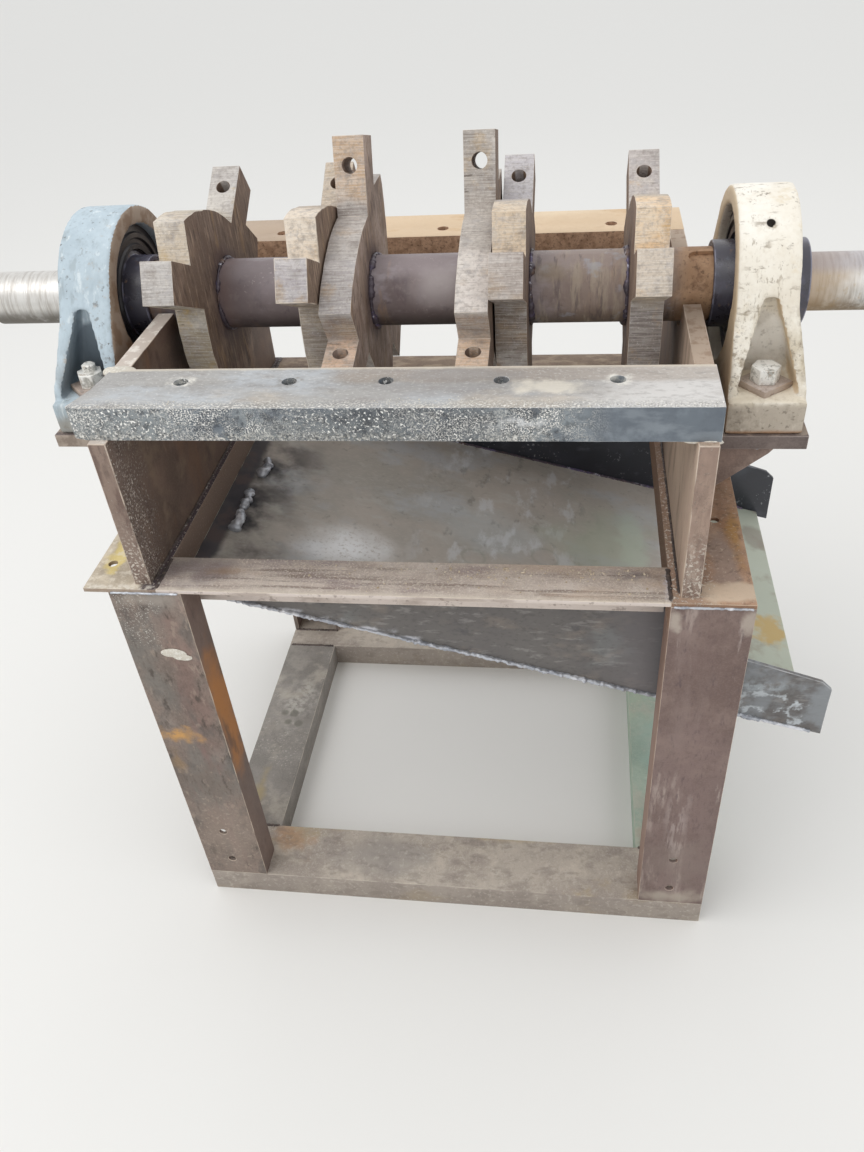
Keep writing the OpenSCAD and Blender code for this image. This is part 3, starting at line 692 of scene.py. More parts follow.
def bar_slate():
    f = weathered("bar_slate_finish", colours().slate, "626971", "8d959c", rough=0.62, scale=7, grit=False)
    f.stains(None,
             (90, 0.5, 0.7, "59606a", 0.4, (0.5, 1, 1)),
             (30, 0.54, 0.68, "8f969c", 0.5, (0.4, 1, 1)))
    front = f.facing(FRONT)
    crusty = f.outside(f.span(X_AXIS, 150, 235, 60, 24))
    crust = f.both(front, crusty)
    f.stains(crust,
             (16, 0.36, 0.6, "9a9f9f", 0.6, (0.6, 1, 1)),
             (20, 0.5, 0.64, "4a4e54", 0.7),
             (140, 0.5, 0.6, "33373d", 0.65))
    cover = f.both(f.blotch(9, 0.36, 0.58, (0.45, 1, 1.6)), f.blotch(46, 0.38, 0.56))
    f.lay(f.both(crust, f.blotch(560, 0.49, 0.54, detail=3), cover), "fbf8f2", 1, rough=0.95, height=1.4)
    coarse = f.both(crust, f.blotch(330, 0.54, 0.59, detail=3), f.blotch(15, 0.42, 0.6, (0.5, 1, 1)))
    f.lay(coarse, "fffdf8", 1, height=1.8)
    lower = f.span(Z_AXIS, 909, 897, 12, 80)
    f.cloud((crust, lower, f.blotch(260, 0.46, 0.56)), 20, 0.36, 0.56, "efece4", 0.95, height=2)
    f.cloud(f.patch((130, -316, 918), (44, 20, 9), 1, 60, 0.8), 90, 0.4, 0.56, "e6e6e6", 0.8, height=1)
    top = f.facing(Z_AXIS)
    f.lay(top, "aaa7a3", 0.94)
    f.stains(top,
             (9, 0.46, 0.66, "949190", 0.7, (0.4, 1.4, 1)),
             (7, 0.5, 0.68, "bcc2c8", 0.6, (0.6, 1.4, 1)),
             (8, 0.54, 0.7, "c6b9a8", 0.65, (0.6, 1.4, 1)))
    f.lay(f.both(top, f.span(X_AXIS, 150, 280, 60, 12)), "dedad6", 0.7)
    f.lay(f.both(top, f.span(Y_AXIS, -262, -250, 14, 16), f.span(X_AXIS, -120, -60, 60)), "9c8c7c", 0.5)
    f.stains(top,
             (40, 0.5, 0.68, "8a8078", 0.3, (0.5, 1, 1)),
             (180, 0.5, 0.66, "87827e", 0.35, (0.4, 1, 1), -0.3),
             (300, 0.54, 0.64, "d6d4d0", 0.4, (0.7, 1, 1), 0.3))
    near = f.span(Y_AXIS, -292, -314, 12, 30)
    f.cloud((top, near), 330, 0.48, 0.56, "f0ece4", 0.85, height=1.2)
    f.lay(f.both(top, f.span(Y_AXIS, -226, -219, 6)), "d8cdbb", 0.7)
    f.lay(f.patch((162, -268, 937), (50, 22, 12), 1, 40, 0.6), "ddd5c6", 0.75, height=0.4)
    f.lay(f.patch((62, -240, 937), (90, 20, 12), 0.6, 20), "8a8582", 0.5)
    for x in FRONT_HOLES:
        ring = f.patch((x, -252, 937), (20, 17, 14), 1, 70, 0.7)
        f.cloud(ring, 120, 0.36, 0.56, "e8e4da" if x in FRONT_HOLES[::4] else "8f8a84", 0.8, height=0.5)
        f.lay(f.patch((x, -252, 915), (HOLE_RADIUS, HOLE_RADIUS, 21.4), 0, 90, 0.04), "4a3a30", 0.95)
    bold = f.both(crust, f.span(X_AXIS, -190, -90, 60, 20), f.outside(f.span(X_AXIS, 60, 130, 60, 20)))
    f.lay(bold, "3a3d42", 0.3)
    f.cloud(bold, 310, 0.575, 0.605, "fffdf8", 1, height=2, detail=3)
    f.lay(f.edge(40), "dcdfe0", 0.75, rough=0.5)
    return f.done(0.9)


def bar_tan():
    f = Finish("bar_tan_finish", "c09c80", 0.8)
    f.stains(None,
             (70, 0.44, 0.62, "8a6850", 0.6, EVEN, -0.5),
             (220, 0.54, 0.62, "5e4636", 0.6, EVEN, -0.5),
             (240, 0.5, 0.62, "a58468", 0.5, EVEN, 0.5))
    top = f.facing(Z_AXIS)
    f.lay(top, "dcc3a4", 0.97)
    f.stains(top,
             (10, 0.46, 0.66, "e6d2b6", 0.7, (0.4, 1, 1)),
             (24, 0.56, 0.7, "c9a67c", 0.6, (0.4, 1, 1)))
    f.lay(f.both(top, f.span(X_AXIS, -180, -300, 80, 10)), "9a8a80", 0.6)
    for x in REAR_HOLES:
        f.lay(f.patch((x, 252, 916), (HOLE_RADIUS, HOLE_RADIUS, 20.6), 0, 90, 0.04), "5a4434", 0.95)
    f.lay(f.edge(30), "ead9c0", 0.6)
    return f.done(0.6)


def chute_floor():
    f = Finish("chute_floor_finish", "bcb3a9", 0.6, specular=0.45)
    f.cloud(None, 5, 0.42, 0.64, "a29d94", 0.7)
    f.cloud(None, 8, 0.52, 0.66, "babec2", 0.6, (0.7, 1, 1), rough=0.5)
    f.cloud(None, 24, 0.54, 0.7, "c8c8c2", 0.45, (0.7, 1.2, 1), rough=0.7)
    f.stains(None,
             (60, 0.58, 0.72, "857f76", 0.5),
             (300, 0.5, 0.7, "c9c2b7", 0.3, (0.3, 1, 1), 0.4, 2))
    f.cloud(f.span(X_AXIS, -200, -280, 60, 8), 9, 0.4, 0.64, "524d4c", 0.87)
    scuff = f.patch((-142, -108, 590), (104, 74, 90), 0.45, 14, 1)
    f.cloud(scuff, 170, 0.2, 0.52, "ffffff", 1, rough=0.85)
    f.lay(f.patch((60, 30, 540), (150, 90, 90), 1, 14, 1), "bdc2c2", 0.5)
    between = f.both(f.span(X_AXIS, -90, 0, 40, 10), f.outside(f.span(X_AXIS, 180, 260, 60, 10)))
    f.cloud(between, 22, 0.52, 0.64, "dcdee0", 0.55, (1.3, 0.6, 1), rough=0.7)
    f.cloud(between, 30, 0.56, 0.68, "75706a", 0.5, (1.3, 0.6, 1))
    f.lay(f.patch((240, 40, 480), (120, 190, 120), 0.9, 12, 1), "b1b6a3", 0.7)
    f.lay(f.patch((294, 70, 470), (36, 100, 80), 0.6, 30, 0.6), "bdc7b5", 0.6)
    for x, y, r in ((221, -38, 21), (261, -38, 24), (190, -60, 22), (150, -20, 26), (120, -110, 30), (40, -60, 24)):
        f.lay(f.both(f.patch((x, y, 500), (r, r, 90), 0.12, 30, 0.2),
                     f.outside(f.patch((x, y, 500), (r - 4, r - 4, 90), 0.12, 30, 0.25))), "8b8d7c", 0.3)
    for x, y, r in ((-305, 46, 34), (-311, -47, 30), (-309, -103, 30)):
        f.lay(f.patch((x, y, 626), (r + 14, r + 12, 40), 0.8, 40, 0.9), "1c1c24", 0.95)
    f.lay(f.span(X_AXIS, -312, -324, 14, 30), "3c3a40", 0.9)
    f.cloud(f.span(X_AXIS, -312, -324, 14, 30), 26, 0.5, 0.64, "5e4f4c", 0.7)
    f.lay(f.both(f.span(Y_AXIS, -225, -256, 16, 20)), "ccc4b6", 0.6)
    out = f.span(X_AXIS, 400, 420)
    f.lay(out, "b4bbaa", 0.85)
    f.cloud(out, 14, 0.5, 0.64, "9c9484", 0.7)
    f.lay(f.patch((500, -70, 420), (40, 46, 50), 0.9, 40, 0.6), "bf9f5e", 0.85)
    f.lay(f.patch((512, 170, 410), (30, 50, 50), 0.7, 30), "8d8478", 0.7)
    f.lay(f.outside(f.facing(Z_AXIS, -0.2, 0.3)), "8c867f", 0.8)
    f.lay(f.edge(30), "eaebdc", 0.6)
    return f.done(0.4)


SLAG_SPLASHES = ((-262, 607, 34), (-205, 590, 44), (-145, 574, 40), (-90, 559, 40), (-35, 543, 30), (54, 512, 24))


def cheek_grey():
    f = Finish("cheek_grey_finish", "676360", 0.5, specular=0.5)
    f.stains(None,
             (6, 0.45, 0.64, "5f5b5a", 0.7),
             (12, 0.55, 0.7, "7f8482", 0.6, (0.6, 1, 1)),
             (22, 0.52, 0.66, "857a70", 0.5, (0.6, 1, 1)),
             (120, 0.56, 0.66, "a09c98", 0.35, (0.25, 1, 1)),
             (200, 0.52, 0.64, "4c4846", 0.4, (0.6, 1, 1)),
             (28, 0.6, 0.72, "48464a", 0.55))
    f.lay(f.both(f.span(X_AXIS, 215, 300, 40, 20), f.outside(f.span(X_AXIS, 400, 430))), "7d797b", 0.65)
    for x, z, wide in SLAG_SPLASHES:
        splash = f.patch((x, CHEEK_FRONT, z), (wide, 20, 9), 1, 50, 0.8)
        f.cloud(splash, 90, 0.34, 0.54, "dcdce2", 0.75, (0.6, 1, 1), 0.5, rough=0.6)
    f.cloud(f.span(X_AXIS, 380, 430), 18, 0.4, 0.6, "8f9498", 0.7)
    haze = f.patch((452, CHEEK_FRONT, 476), (52, 30, 16), 0.9, 30, 0.9)
    f.cloud(haze, 90, 0.36, 0.6, "b4bdc2", 0.6)
    for x, z, wide, tall in ((462, 446, 44, 22), (506, 428, 22, 20)):
        ring = f.both(f.patch((x, CHEEK_FRONT, z), (wide, 30, tall), 1.5, 34, 0.14),
                      f.outside(f.patch((x, CHEEK_FRONT, z), (wide - 5, 30, tall - 5), 1.5, 34, 0.3)))
        f.cloud(ring, 34, 0.46, 0.56, "ccd2d6", 0.7, rough=0.7)
    f.lay(f.edge(30), "c8c8c8", 0.7)
    return f.done(0.4)


def cheek_black():
    f = Finish("cheek_black_finish", "262830", 0.32, specular=0.6)
    f.cloud(None, 7, 0.5, 0.66, "34363f", 0.8, rough=0.55)
    f.cloud(None, 26, 0.58, 0.7, "5c6068", 0.5, (0.5, 1, 1), rough=0.6)
    f.lay(f.patch((456, 262, 520), (60, 30, 60), 0.7, 30), "3c4048", 0.7)
    f.cloud(f.blotch(200, 0.6, 0.66), 16, 0.52, 0.62, "c4c6ca", 0.5)
    f.lay(f.edge(30), "8b8d92", 0.55)
    return f.done(0.3)


def bracket_brown():
    f = weathered("bracket_brown_finish", "716560", "5a4f4c", "877a74", scale=12)
    f.cloud(f.facing(Z_AXIS), 40, 0.46, 0.62, "a8998a", 0.7, height=0.5)
    left_front = f.both(f.facing(FRONT), f.outside(f.span(X_AXIS, -100, 100)))
    f.lay(left_front, "b5a698", 0.8)
    f.cloud(left_front, 50, 0.5, 0.66, "6e6055", 0.6)
    f.lay(f.edge(40), "a39790", 0.6)
    return f.done(0.6)


def gusset():
    f = weathered("gusset_finish", "867268", "6d5c54", "9a877c", scale=14)
    f.cloud(None, 60, 0.6, 0.72, "a59086", 0.5)
    f.lay(f.edge(40), "b5a094", 0.6)
    return f.done(0.5)


def housing_coat(name, paint, shade, chip):
    """Chalky paint on a casting: soft clouds, brushed grain and small irregular chips."""
    f = Finish(name, paint, 0.62, specular=0.45)
    f.cloud(None, 9, 0.46, 0.66, shade, 0.7)
    f.cloud(None, 160, 0.46, 0.7, shade, 0.4, (1, 1, 0.6), 0.4, 2)
    f.cloud(f.blotch(130, 0.6, 0.66), 20, 0.42, 0.62, chip, 0.85, height=-0.5)
    return f


def pocket_mask(f, top, full):
    """The hollow between the two ribs on the front and on the rear."""
    inside = None
    for centre in (middle("pillow_block_left").x, middle("pillow_block_right").x):
        here = f.patch((centre * 1000, 0, 895), (37, 400, 82), 0.2, 30, 0.35)
        inside = here if inside is None else maths(f.tree, "MAXIMUM", inside, here)
    deep = f.patch((0, 0, 900), (900, 168, 90), 0.04, 30, 0.06)
    return f.both(inside, deep, f.span(Z_AXIS, top, full, 20, 14))


def housing_blue():
    f = housing_coat("housing_blue_finish", colours().blue_paint, "a3b1b9", "5a5550")
    f.stains(None,
             (14, 0.5, 0.7, "c6d2d8", 0.6, (1, 1, 0.4)),
             (40, 0.54, 0.68, "929c9f", 0.5, (1.6, 1, 0.25)),
             (60, 0.58, 0.7, "e4ebec", 0.5, (1.6, 1, 0.25)))
    f.cloud(f.span(Z_AXIS, 960, 880, 40, 10), 26, 0.44, 0.64, "8b9193", 0.6, (1, 1, 0.5))
    f.cloud(f.blotch(34, 0.56, 0.64), 190, 0.5, 0.6, "6c6862", 0.6, height=-0.4)
    f.cloud(f.blotch(16, 0.6, 0.68), 90, 0.52, 0.6, "b09a80", 0.6)
    hollow = pocket_mask(f, 985, 960)
    middle_x = middle("pillow_block_left").x * 1000
    right = f.both(f.facing(X_AXIS, 0.55), f.outside(hollow), f.span(X_AXIS, middle_x + 4, middle_x + 12))
    rib_side = f.both(f.facing(X_AXIS, 0.3, 0.7), f.span(X_AXIS, middle_x + 4, middle_x - 4),
                      f.span(Z_AXIS, 1000, 985))
    f.lay(right, "a9937e", 0.92)
    f.cloud(right, 30, 0.5, 0.64, "8a705a", 0.75)
    f.cloud((right, f.span(Z_AXIS, 950, 880, 30, 20)), 24, 0.48, 0.6, "b07c42", 0.7)
    f.lay(rib_side, "77838c", 0.85)
    # painted shade: the hollow between the ribs is laid darker, and darker still low down
    f.lay(hollow, "6c7780", 0.9)
    f.lay(f.both(hollow, f.span(Z_AXIS, 905, 874, 24)), "55575a", 0.8)
    f.lay(f.span(Z_AXIS, 866, 846, 14, 24), "938c80", 0.75)
    f.cloud(f.crest(), 50, 0.4, 0.6, "98907f", 0.6)
    return f.done(0.6)


def housing_cream():
    f = housing_coat("housing_cream_finish", colours().cream_paint, "ddd3c2", "6f5f4e")
    f.cloud(None, 12, 0.5, 0.68, "f7f3ea", 0.7, (1, 1, 0.5))
    f.cloud(f.blotch(12, 0.54, 0.66), 60, 0.5, 0.62, "d9c8aa", 0.5)
    scratch = f.both(f.blotch(90, 0.57, 0.64, (0.5, 1, 1.6)), f.blotch(14, 0.44, 0.6))
    f.lay(scratch, "8b7c6a", 0.7, height=-0.6)
    f.cloud(f.blotch(150, 0.56, 0.62, (2, 1, 0.4)), 18, 0.5, 0.62, "9a8b76", 0.6, height=-0.5)
    low_down = f.span(Z_AXIS, 1000, 920, 60, 12)
    f.cloud(low_down, 22, 0.44, 0.62, "bcae94", 0.72, (1, 1, 0.5))
    f.cloud((low_down, f.blotch(80, 0.5, 0.62)), 24, 0.4, 0.6, "8d7b64", 0.72, height=-0.6)
    f.cloud((low_down, f.blotch(260, 0.56, 0.62)), 40, 0.4, 0.6, "5a4c3e", 0.5, height=-0.4)
    pocket = pocket_mask(f, 985, 950)
    f.lay(pocket, "f0ebe2", 0.9)
    f.stains(pocket,
             (26, 0.5, 0.66, "bdb3a4", 0.5),
             (90, 0.56, 0.68, "8c8070", 0.4))
    f.lay(f.both(pocket, f.span(Z_AXIS, 888, 874, 14)), "94826e", 0.5)
    f.lay(f.both(f.facing(LEFT, 0.55), f.outside(pocket)), "cdb593", 0.85)
    foot_front = f.both(f.span(Z_AXIS, 874, 864), f.facing(FRONT))
    f.lay(f.span(Z_AXIS, 876, 866, 6), "c2b49d", 0.5)
    f.lay(foot_front, "b5aa9b", 0.92)
    f.stains(foot_front,
             (26, 0.48, 0.64, "857b6d", 0.75, EVEN, 0.4),
             (50, 0.54, 0.66, "d8cfc0", 0.5, (1.4, 1, 0.5), 0.4),
             (150, 0.56, 0.66, "6b6256", 0.6))
    f.lay(f.span(Z_AXIS, 837, 831, 3), "a5734a", 0.7)
    f.lay(f.both(f.facing(Z_AXIS), f.span(Z_AXIS, 880, 876)), "ded2bd", 0.7)
    f.lay(f.patch((413, -66, 1041), (11, 11, 11), 0.5, 60, 0.9), "8f7d66", 0.6)
    # painted shade: a near-black disc stands for the inside of the grease hole
    f.lay(f.patch((413, -66, 1041), (6, 6, 6), 0.1, 60, 0.15), "17110c", 1, rough=0.95)
    f.cloud(f.crest(), 60, 0.4, 0.6, "a08c6c", 0.5)
    return f.done(0.6)


def bearing_dark():
    f = Finish("bearing_dark_finish", "43414c", 0.34, 0, 0.6)
    f.cloud(None, 40, 0.45, 0.62, "38343c", 0.8, rough=0.22)
    f.cloud(None, 14, 0.52, 0.66, "66647a", 0.6)
    f.cloud(None, 90, 0.6, 0.7, "8a6a4c", 0.5, rough=0.7)
    f.cloud(None, 20, 0.56, 0.66, "8793a6", 0.6, (1, 1, 0.5), rough=0.25)
    f.lay(f.edge(60), "8d8ea0", 0.7, rough=0.3)
    return f.done(0.4)


def bearing_shell():
    f = Finish("bearing_shell_finish", "2b292c", 0.42, specular=0.5)
    f.cloud(None, 50, 0.45, 0.65, "1b1a20", 0.8, rough=0.25)
    f.cloud(None, 20, 0.55, 0.68, "4c4548", 0.6)
    f.lay(f.edge(60), "5d5658", 0.6)
    return f.done(0.4)


def bolt():
    f = Finish("bolt_zinc_finish", "eae8e2", 0.5, 0.2)
    f.cloud(None, 70, 0.48, 0.62, "98958c", 0.8, rough=0.65)
    pits = f.both(f.blotch(240, 0.56, 0.62), f.blotch(60, 0.44, 0.6))
    f.lay(pits, "4f4a43", 0.7, rough=0.8, metal=0, height=-0.4)
    f.cloud(None, 50, 0.62, 0.7, "8f7658", 0.6, metal=0)
    f.lay(f.edge(80), "eeece4", 0.6)
    return f.done(0.4)


def washer():
    f = weathered("washer_finish", "bcaea4", "9c8a7e", "cec2b7", scale=24)
    f.lay(f.outside(f.facing(Z_AXIS, 0.3, 0.7)), "ab998a", 0.7)
    f.stains(None,
             (30, 0.56, 0.68, "8f8586", 0.6),
             (130, 0.56, 0.66, "6d5d52", 0.5))
    f.lay(f.edge(50), "b59c84", 0.5)
    return f.done(0.5)


def shaft():
    f = Finish("shaft_finish", "837573", 0.5, specular=0.5)
    f.cloud(None, 6, 0.44, 0.62, "6e5f5e", 0.75, (0.8, 1, 1), rough=0.6)
    f.cloud(None, 11, 0.52, 0.64, "aaa0a4", 0.75, (0.7, 1.2, 1.2), rough=0.42)
    f.stains(None,
             (26, 0.54, 0.66, "5f5154", 0.6, (1.2, 0.7, 0.7)),
             (60, 0.58, 0.7, "54464a", 0.6, EVEN, -0.3),
             (130, 0.54, 0.66, "a0938e", 0.22, EVEN, 0.3),
             (20, 0.56, 0.68, "a5876c", 0.6, (1.6, 0.4, 0.4)))
    # painted highlight: a lighter band along the top of the shaft; painted shade: a dark band along its underside
    f.lay(f.span(Z_AXIS, 966, 984, 12, 12), "a79c9e", 0.45)
    f.lay(f.span(Z_AXIS, 940, 903, 24, 12), "2c201a", 0.88)
    f.lay(f.outside(f.span(X_AXIS, -190, -150, 20, 12)), "4f484d", 0.25)
    f.lay(f.span(X_AXIS, 110, 200, 60, 12), "a08a76", 0.45)
    drips = f.span(X_AXIS, 105, 125, 8)
    f.stains(drips,
             (48, 0.52, 0.64, "b3a48f", 0.5, (1.6, 0.3, 0.3)),
             (60, 0.54, 0.66, "514447", 0.55, (1.6, 0.3, 0.3)),
             (30, 0.58, 0.68, "a9adb6", 0.45))
    f.lay(f.patch((160, -36, 980), (60, 26, 16), 1, 36, 0.9), "8f7c5c", 0.45)
    f.cloud(f.blotch(12, 0.54, 0.64), 300, 0.6, 0.66, "cfc6c0", 0.5)
    # painted highlight: two lighter patches high on the front of the shaft
    f.lay(f.patch((12, -40, 964), (46, 44, 34), 0.8, 14, 1), "b8aeac", 0.6)
    f.lay(f.patch((-212, -40, 966), (62, 44, 26), 0.8, 14, 1), "9d9296", 0.4)
    f.lay(f.both(f.span(X_AXIS, -255, -285, 20, 12), f.outside(f.span(X_AXIS, -290, -300))), "755a4f", 0.4)
    for name in PLATES:
        centre = middle(name)
        burnt = f.patch((centre.x * 1000, 0, AXIS_MM), (44, 80, 80), 0.35, 30, 0.5)
        f.lay(burnt, "4f4a62", 0.4)
    golden = f.both(f.span(X_AXIS, 300, 332, 8, 30), f.outside(f.span(X_AXIS, 500, 520, 30)))
    f.lay(golden, "b08a68", 0.92, rough=0.7)
    f.stains(golden,
             (26, 0.5, 0.64, "c9a483", 0.75, EVEN, 0.3),
             (40, 0.54, 0.66, "6f4f3b", 0.6, EVEN, -0.3),
             (200, 0.56, 0.64, "5a3e2f", 0.5, EVEN, -0.3))
    left_gold = f.both(f.outside(f.span(X_AXIS, -400, -370)), f.span(X_AXIS, -520, -506))
    f.lay(left_gold, "8a6a50", 0.8)
    right_end = f.span(X_AXIS, 474, 480)
    left_end = f.outside(f.span(X_AXIS, -512, -506))
    for end in (right_end, left_end):
        f.lay(end, colours().bright_steel, 1, rough=0.3, metal=0.85)
        f.cloud(end, 38, 0.42, 0.66, "a9a29a", 0.6, (6, 0.5, 0.5), rough=0.42)
        f.cloud(end, 90, 0.45, 0.7, None, stretch=(8, 0.2, 0.2), height=0.35, detail=2, rough=0.36)
        # painted shade: the lower half of each bright end is laid darker and duller
        f.cloud((end, f.span(Z_AXIS, 944, 918, 12, 50)), 70, 0.34, 0.52, "625b52", 0.85, (1, 1, 0.5), rough=0.7,
                metal=0.1)
    f.lay(f.both(right_end, f.outside(f.span(X_AXIS, 486, 550, 36, 60))), "a98a60", 0.65, rough=0.6, metal=0.15)
    f.cloud(right_end, 60, 0.56, 0.66, "b39a74", 0.4, (1.4, 1, 1), metal=0.3)
    # painted reflections: a lilac-grey band high on the right end and a tan band low on it
    f.lay(f.both(right_end, f.span(Z_AXIS, 960, 972, 6, 20)), "a8a2ab", 0.5, rough=0.5)
    f.lay(f.both(right_end, f.span(Z_AXIS, 930, 914, 8, 20)), "8d7758", 0.6, rough=0.6)
    # painted shadow: the lower part of the left end is laid darker
    f.lay(f.both(left_end, f.span(Z_AXIS, 944, 922, 8, 20)), "5f5a50", 0.7, rough=0.6, metal=0.2)
    return f.done(0.5)


def arm_coat(name, cut, pale, warm, side, tones):
    """Torch-cut faces with fine drag lines across the plate, brown mill faces on both sides."""
    f = weathered(name, side, "6d5b50", "8f7a6b", scale=10)
    f.stains(None,
             (16, 0.5, 0.68, "715a4c", 0.7, (1, 2.2, 0.5)),
             (26, 0.55, 0.68, "9c7f5c", 0.45, (1, 1.8, 0.6)),
             (60, 0.5, 0.68, "a8917d", 0.6, (1, 2.4, 0.4), 0.5),
             (70, 0.54, 0.66, "4c3e36", 0.7, (1, 2.4, 0.4), -0.5))
    face = f.outside(f.mask("facing", out="Slope", Axis=X_AXIS))
    face = smooth_range(f.tree, face, 0.35, 0.6)
    f.lay(face, cut, 0.97, rough=0.7)
    for (y, z, wide, tall), colour in tones:
        f.lay(f.both(face, f.patch((0, y, z), (900, wide, tall), 0.3, 24, 0.4)), colour, 0.92)
    f.cloud(face, 15, 0.5, 0.64, pale, 0.5)
    f.cloud(face, 22, 0.54, 0.68, warm, 0.7)
    f.cloud(face, 34, 0.52, 0.66, "7d736d", 0.55)
    lines = f.blotch(560, 0.42, 0.6, (0.04, 1.1, 1.1), 2)
    f.lay(f.both(face, lines), "e9e3da", 0.28, height=0.8)
    drag = f.both(f.blotch(430, 0.52, 0.68, (0.07, 1.1, 1.1), 2), f.blotch(17, 0.34, 0.62))
    f.lay(f.both(face, drag), "7b7068", 0.35, height=-0.8)
    f.stains(face,
             (220, 0.46, 0.66, "8b8078", 0.4, EVEN, -0.3),
             (70, 0.52, 0.66, "a9a4a3", 0.36),
             (400, 0.56, 0.66, "f0ebe4", 0.22, EVEN, 0.4))
    cracks = f.both(f.blotch(100, 0.65, 0.68, (0.16, 1.6, 1.6), 3), f.blotch(14, 0.52, 0.6))
    f.lay(f.both(face, cracks), "54473d", 0.55, height=-1.2)
    hub = f.patch((0, 0, AXIS_MM), (900, 74, 74), 0.3, 30, 0.3)
    f.lay(f.both(f.outside(face), hub), "5d4d4e", 0.6)
    f.lay(f.edge(40), "ddd0bf", 0.7, rough=0.5)
    return f


FRONT_LUG, TOP_HUMP = (-173, 1026, 36, 42), (-95, 1055, 60, 50)
REAR_LUG, UNDER_LUG = (118, 1053, 70, 60), (-96, 905, 46, 75)
TOP_LUG, FRONT_HUMP = (16, 1103, 60, 54), (-125, 1000, 60, 50)
LOW_STEP, LOW_LUG = (-147, 955, 24, 24), (-161, 926, 36, 28)


def arm_finish(index):
    """The finish of one arm plate, with its own tones on lugs and humps; on plates 1, 2, 5 and 6 the up-facing top
    humps are partly painted light and the down-facing under lugs partly painted shade.
    """
    looks = {1: ("b5a996", "d6cfc4", "b69a66", "6c594c"), 2: ("ae9c88", "d0c0ac", "a98c66", "7b6858"),
             3: ("a69d97", "cbc3bc", "b39a80", "b09d92"), 4: ("b0a69d", "cfc6bc", "b8a080", "7d6e64"),
             5: ("a9a09a", "cfcbc8", "a58e76", "7b6b62"), 6: ("b9ab99", "ded3c2", "c29c68", "7d685a")}
    # top humps lighter: partly painted light; under lugs darker: partly painted shade
    tones = {1: ((TOP_HUMP, "c9baa6"), (REAR_LUG, "b8b2ae"), (UNDER_LUG, "94866f"), (FRONT_LUG, "b3aeab")),
             2: ((TOP_HUMP, "e8d9c6"), (REAR_LUG, "c6b5a0"), (UNDER_LUG, "8c8074"), (FRONT_LUG, "aca6a9")),
             3: ((TOP_LUG, "c4a688"), (FRONT_HUMP, "a39c9a"), (LOW_STEP, "8f7a6a"), (LOW_LUG, "dab79b")),
             4: ((TOP_LUG, "a39a92"), (FRONT_HUMP, "d6ccc4"), (LOW_STEP, "a58d7a"), (LOW_LUG, "cfae90")),
             5: ((TOP_HUMP, "d5bfa3"), (REAR_LUG, "c3bec1"), (UNDER_LUG, "746557"), (FRONT_LUG, "aca098")),
             6: ((TOP_HUMP, "e6c59c"), (REAR_LUG, "b6adaa"), (UNDER_LUG, "766d6a"), (FRONT_LUG, "c9bbab"))}
    return arm_coat("arm_finish_%d" % index, *looks[index], tones[index]).done(0.6)


def weld_blue():
    f = Finish("weld_blue_finish", "4f454e", 0.4, 0.25, 0.6)
    f.cloud(None, 30, 0.45, 0.62, "3a3238", 0.8)
    f.cloud(None, 26, 0.52, 0.64, "625a7c", 0.7, rough=0.28)
    f.cloud(None, 40, 0.54, 0.66, "6f584a", 0.8, rough=0.6, metal=0.1)
    # painted glints: small bluish-white highlights on the ring beads
    f.cloud(f.blotch(150, 0.56, 0.62), 24, 0.5, 0.62, "d9d9e4", 0.7, rough=0.25)
    return f.done(0.4)


def weld_dark():
    f = Finish("weld_dark_finish", "5a4f4b", 0.55, 0.2)
    f.stains(None,
             (30, 0.45, 0.62, "3f3936", 0.8),
             (50, 0.55, 0.68, "85766a", 0.7))
    f.lay(f.specks(160, 0.45), "c8c4be", 0.5)
    return f.done(0.4)


def weld_silver():
    f = Finish("weld_silver_finish", "b9bcc2", 0.36, 0.5, 0.6)
    f.cloud(None, 60, 0.45, 0.62, "8a8e98", 0.7)
    f.cloud(None, 30, 0.55, 0.66, "e6e6ea", 0.8, rough=0.55, metal=0.1)
    f.cloud(None, 50, 0.6, 0.7, "4a4c56", 0.7)
    return f.done(0.4)


def cement():
    f = Finish("cement_finish", colours().cement, 0.92, specular=0.2)
    f.stains(None,
             (40, 0.45, 0.65, "c2bbae", 0.7, EVEN, 0.5),
             (260, 0.45, 0.65, "f1eee6", 0.6, EVEN, 0.8))
    f.lay(f.specks(220, 0.4), "8a8276", 0.5, height=-0.4)
    return f.done(0.6)


def sand():
    f = Finish("sand_finish", colours().sand, 0.95, specular=0.2)
    f.stains(None,
             (60, 0.42, 0.62, "a8957c", 0.8),
             (110, 0.52, 0.64, "e6dac6", 0.8, EVEN, 0.5))
    return f.done(0.4)


RECIPES = {recipe.__name__: recipe for recipe in (
    leg_brown, leg_dark, base_front, base_left, base_right, rail_front, rail_rear, rail_left, rail_right, wall_left,
    wall_right, bar_slate, bar_tan, chute_floor, cheek_grey, cheek_black, bracket_brown, gusset, housing_blue,
    housing_cream, bearing_dark, bearing_shell, bolt, washer, shaft, weld_blue, weld_dark, weld_silver, cement, sand)}
RECIPES.update(("arm_%d" % k, partial(arm_finish, k)) for k in range(1, 7))


# ---------------------------------------------------------------- modelling helpers

def pick(*pieces):
    """Leaves the given pieces as the only selection, the last one active."""
    if bpy.context.object and bpy.context.object.mode != "OBJECT":
        bpy.ops.object.mode_set(mode="OBJECT")
    bpy.ops.object.select_all(action="DESELECT")
    for piece in pieces:
        piece.select_set(True)
    bpy.context.view_layer.objects.active = pieces[-1]


def apply_all(piece):
    """Applies every modifier of a piece in turn."""
    pick(piece)
    for modifier in list(piece.modifiers):
        bpy.ops.object.modifier_apply(modifier=modifier.name)


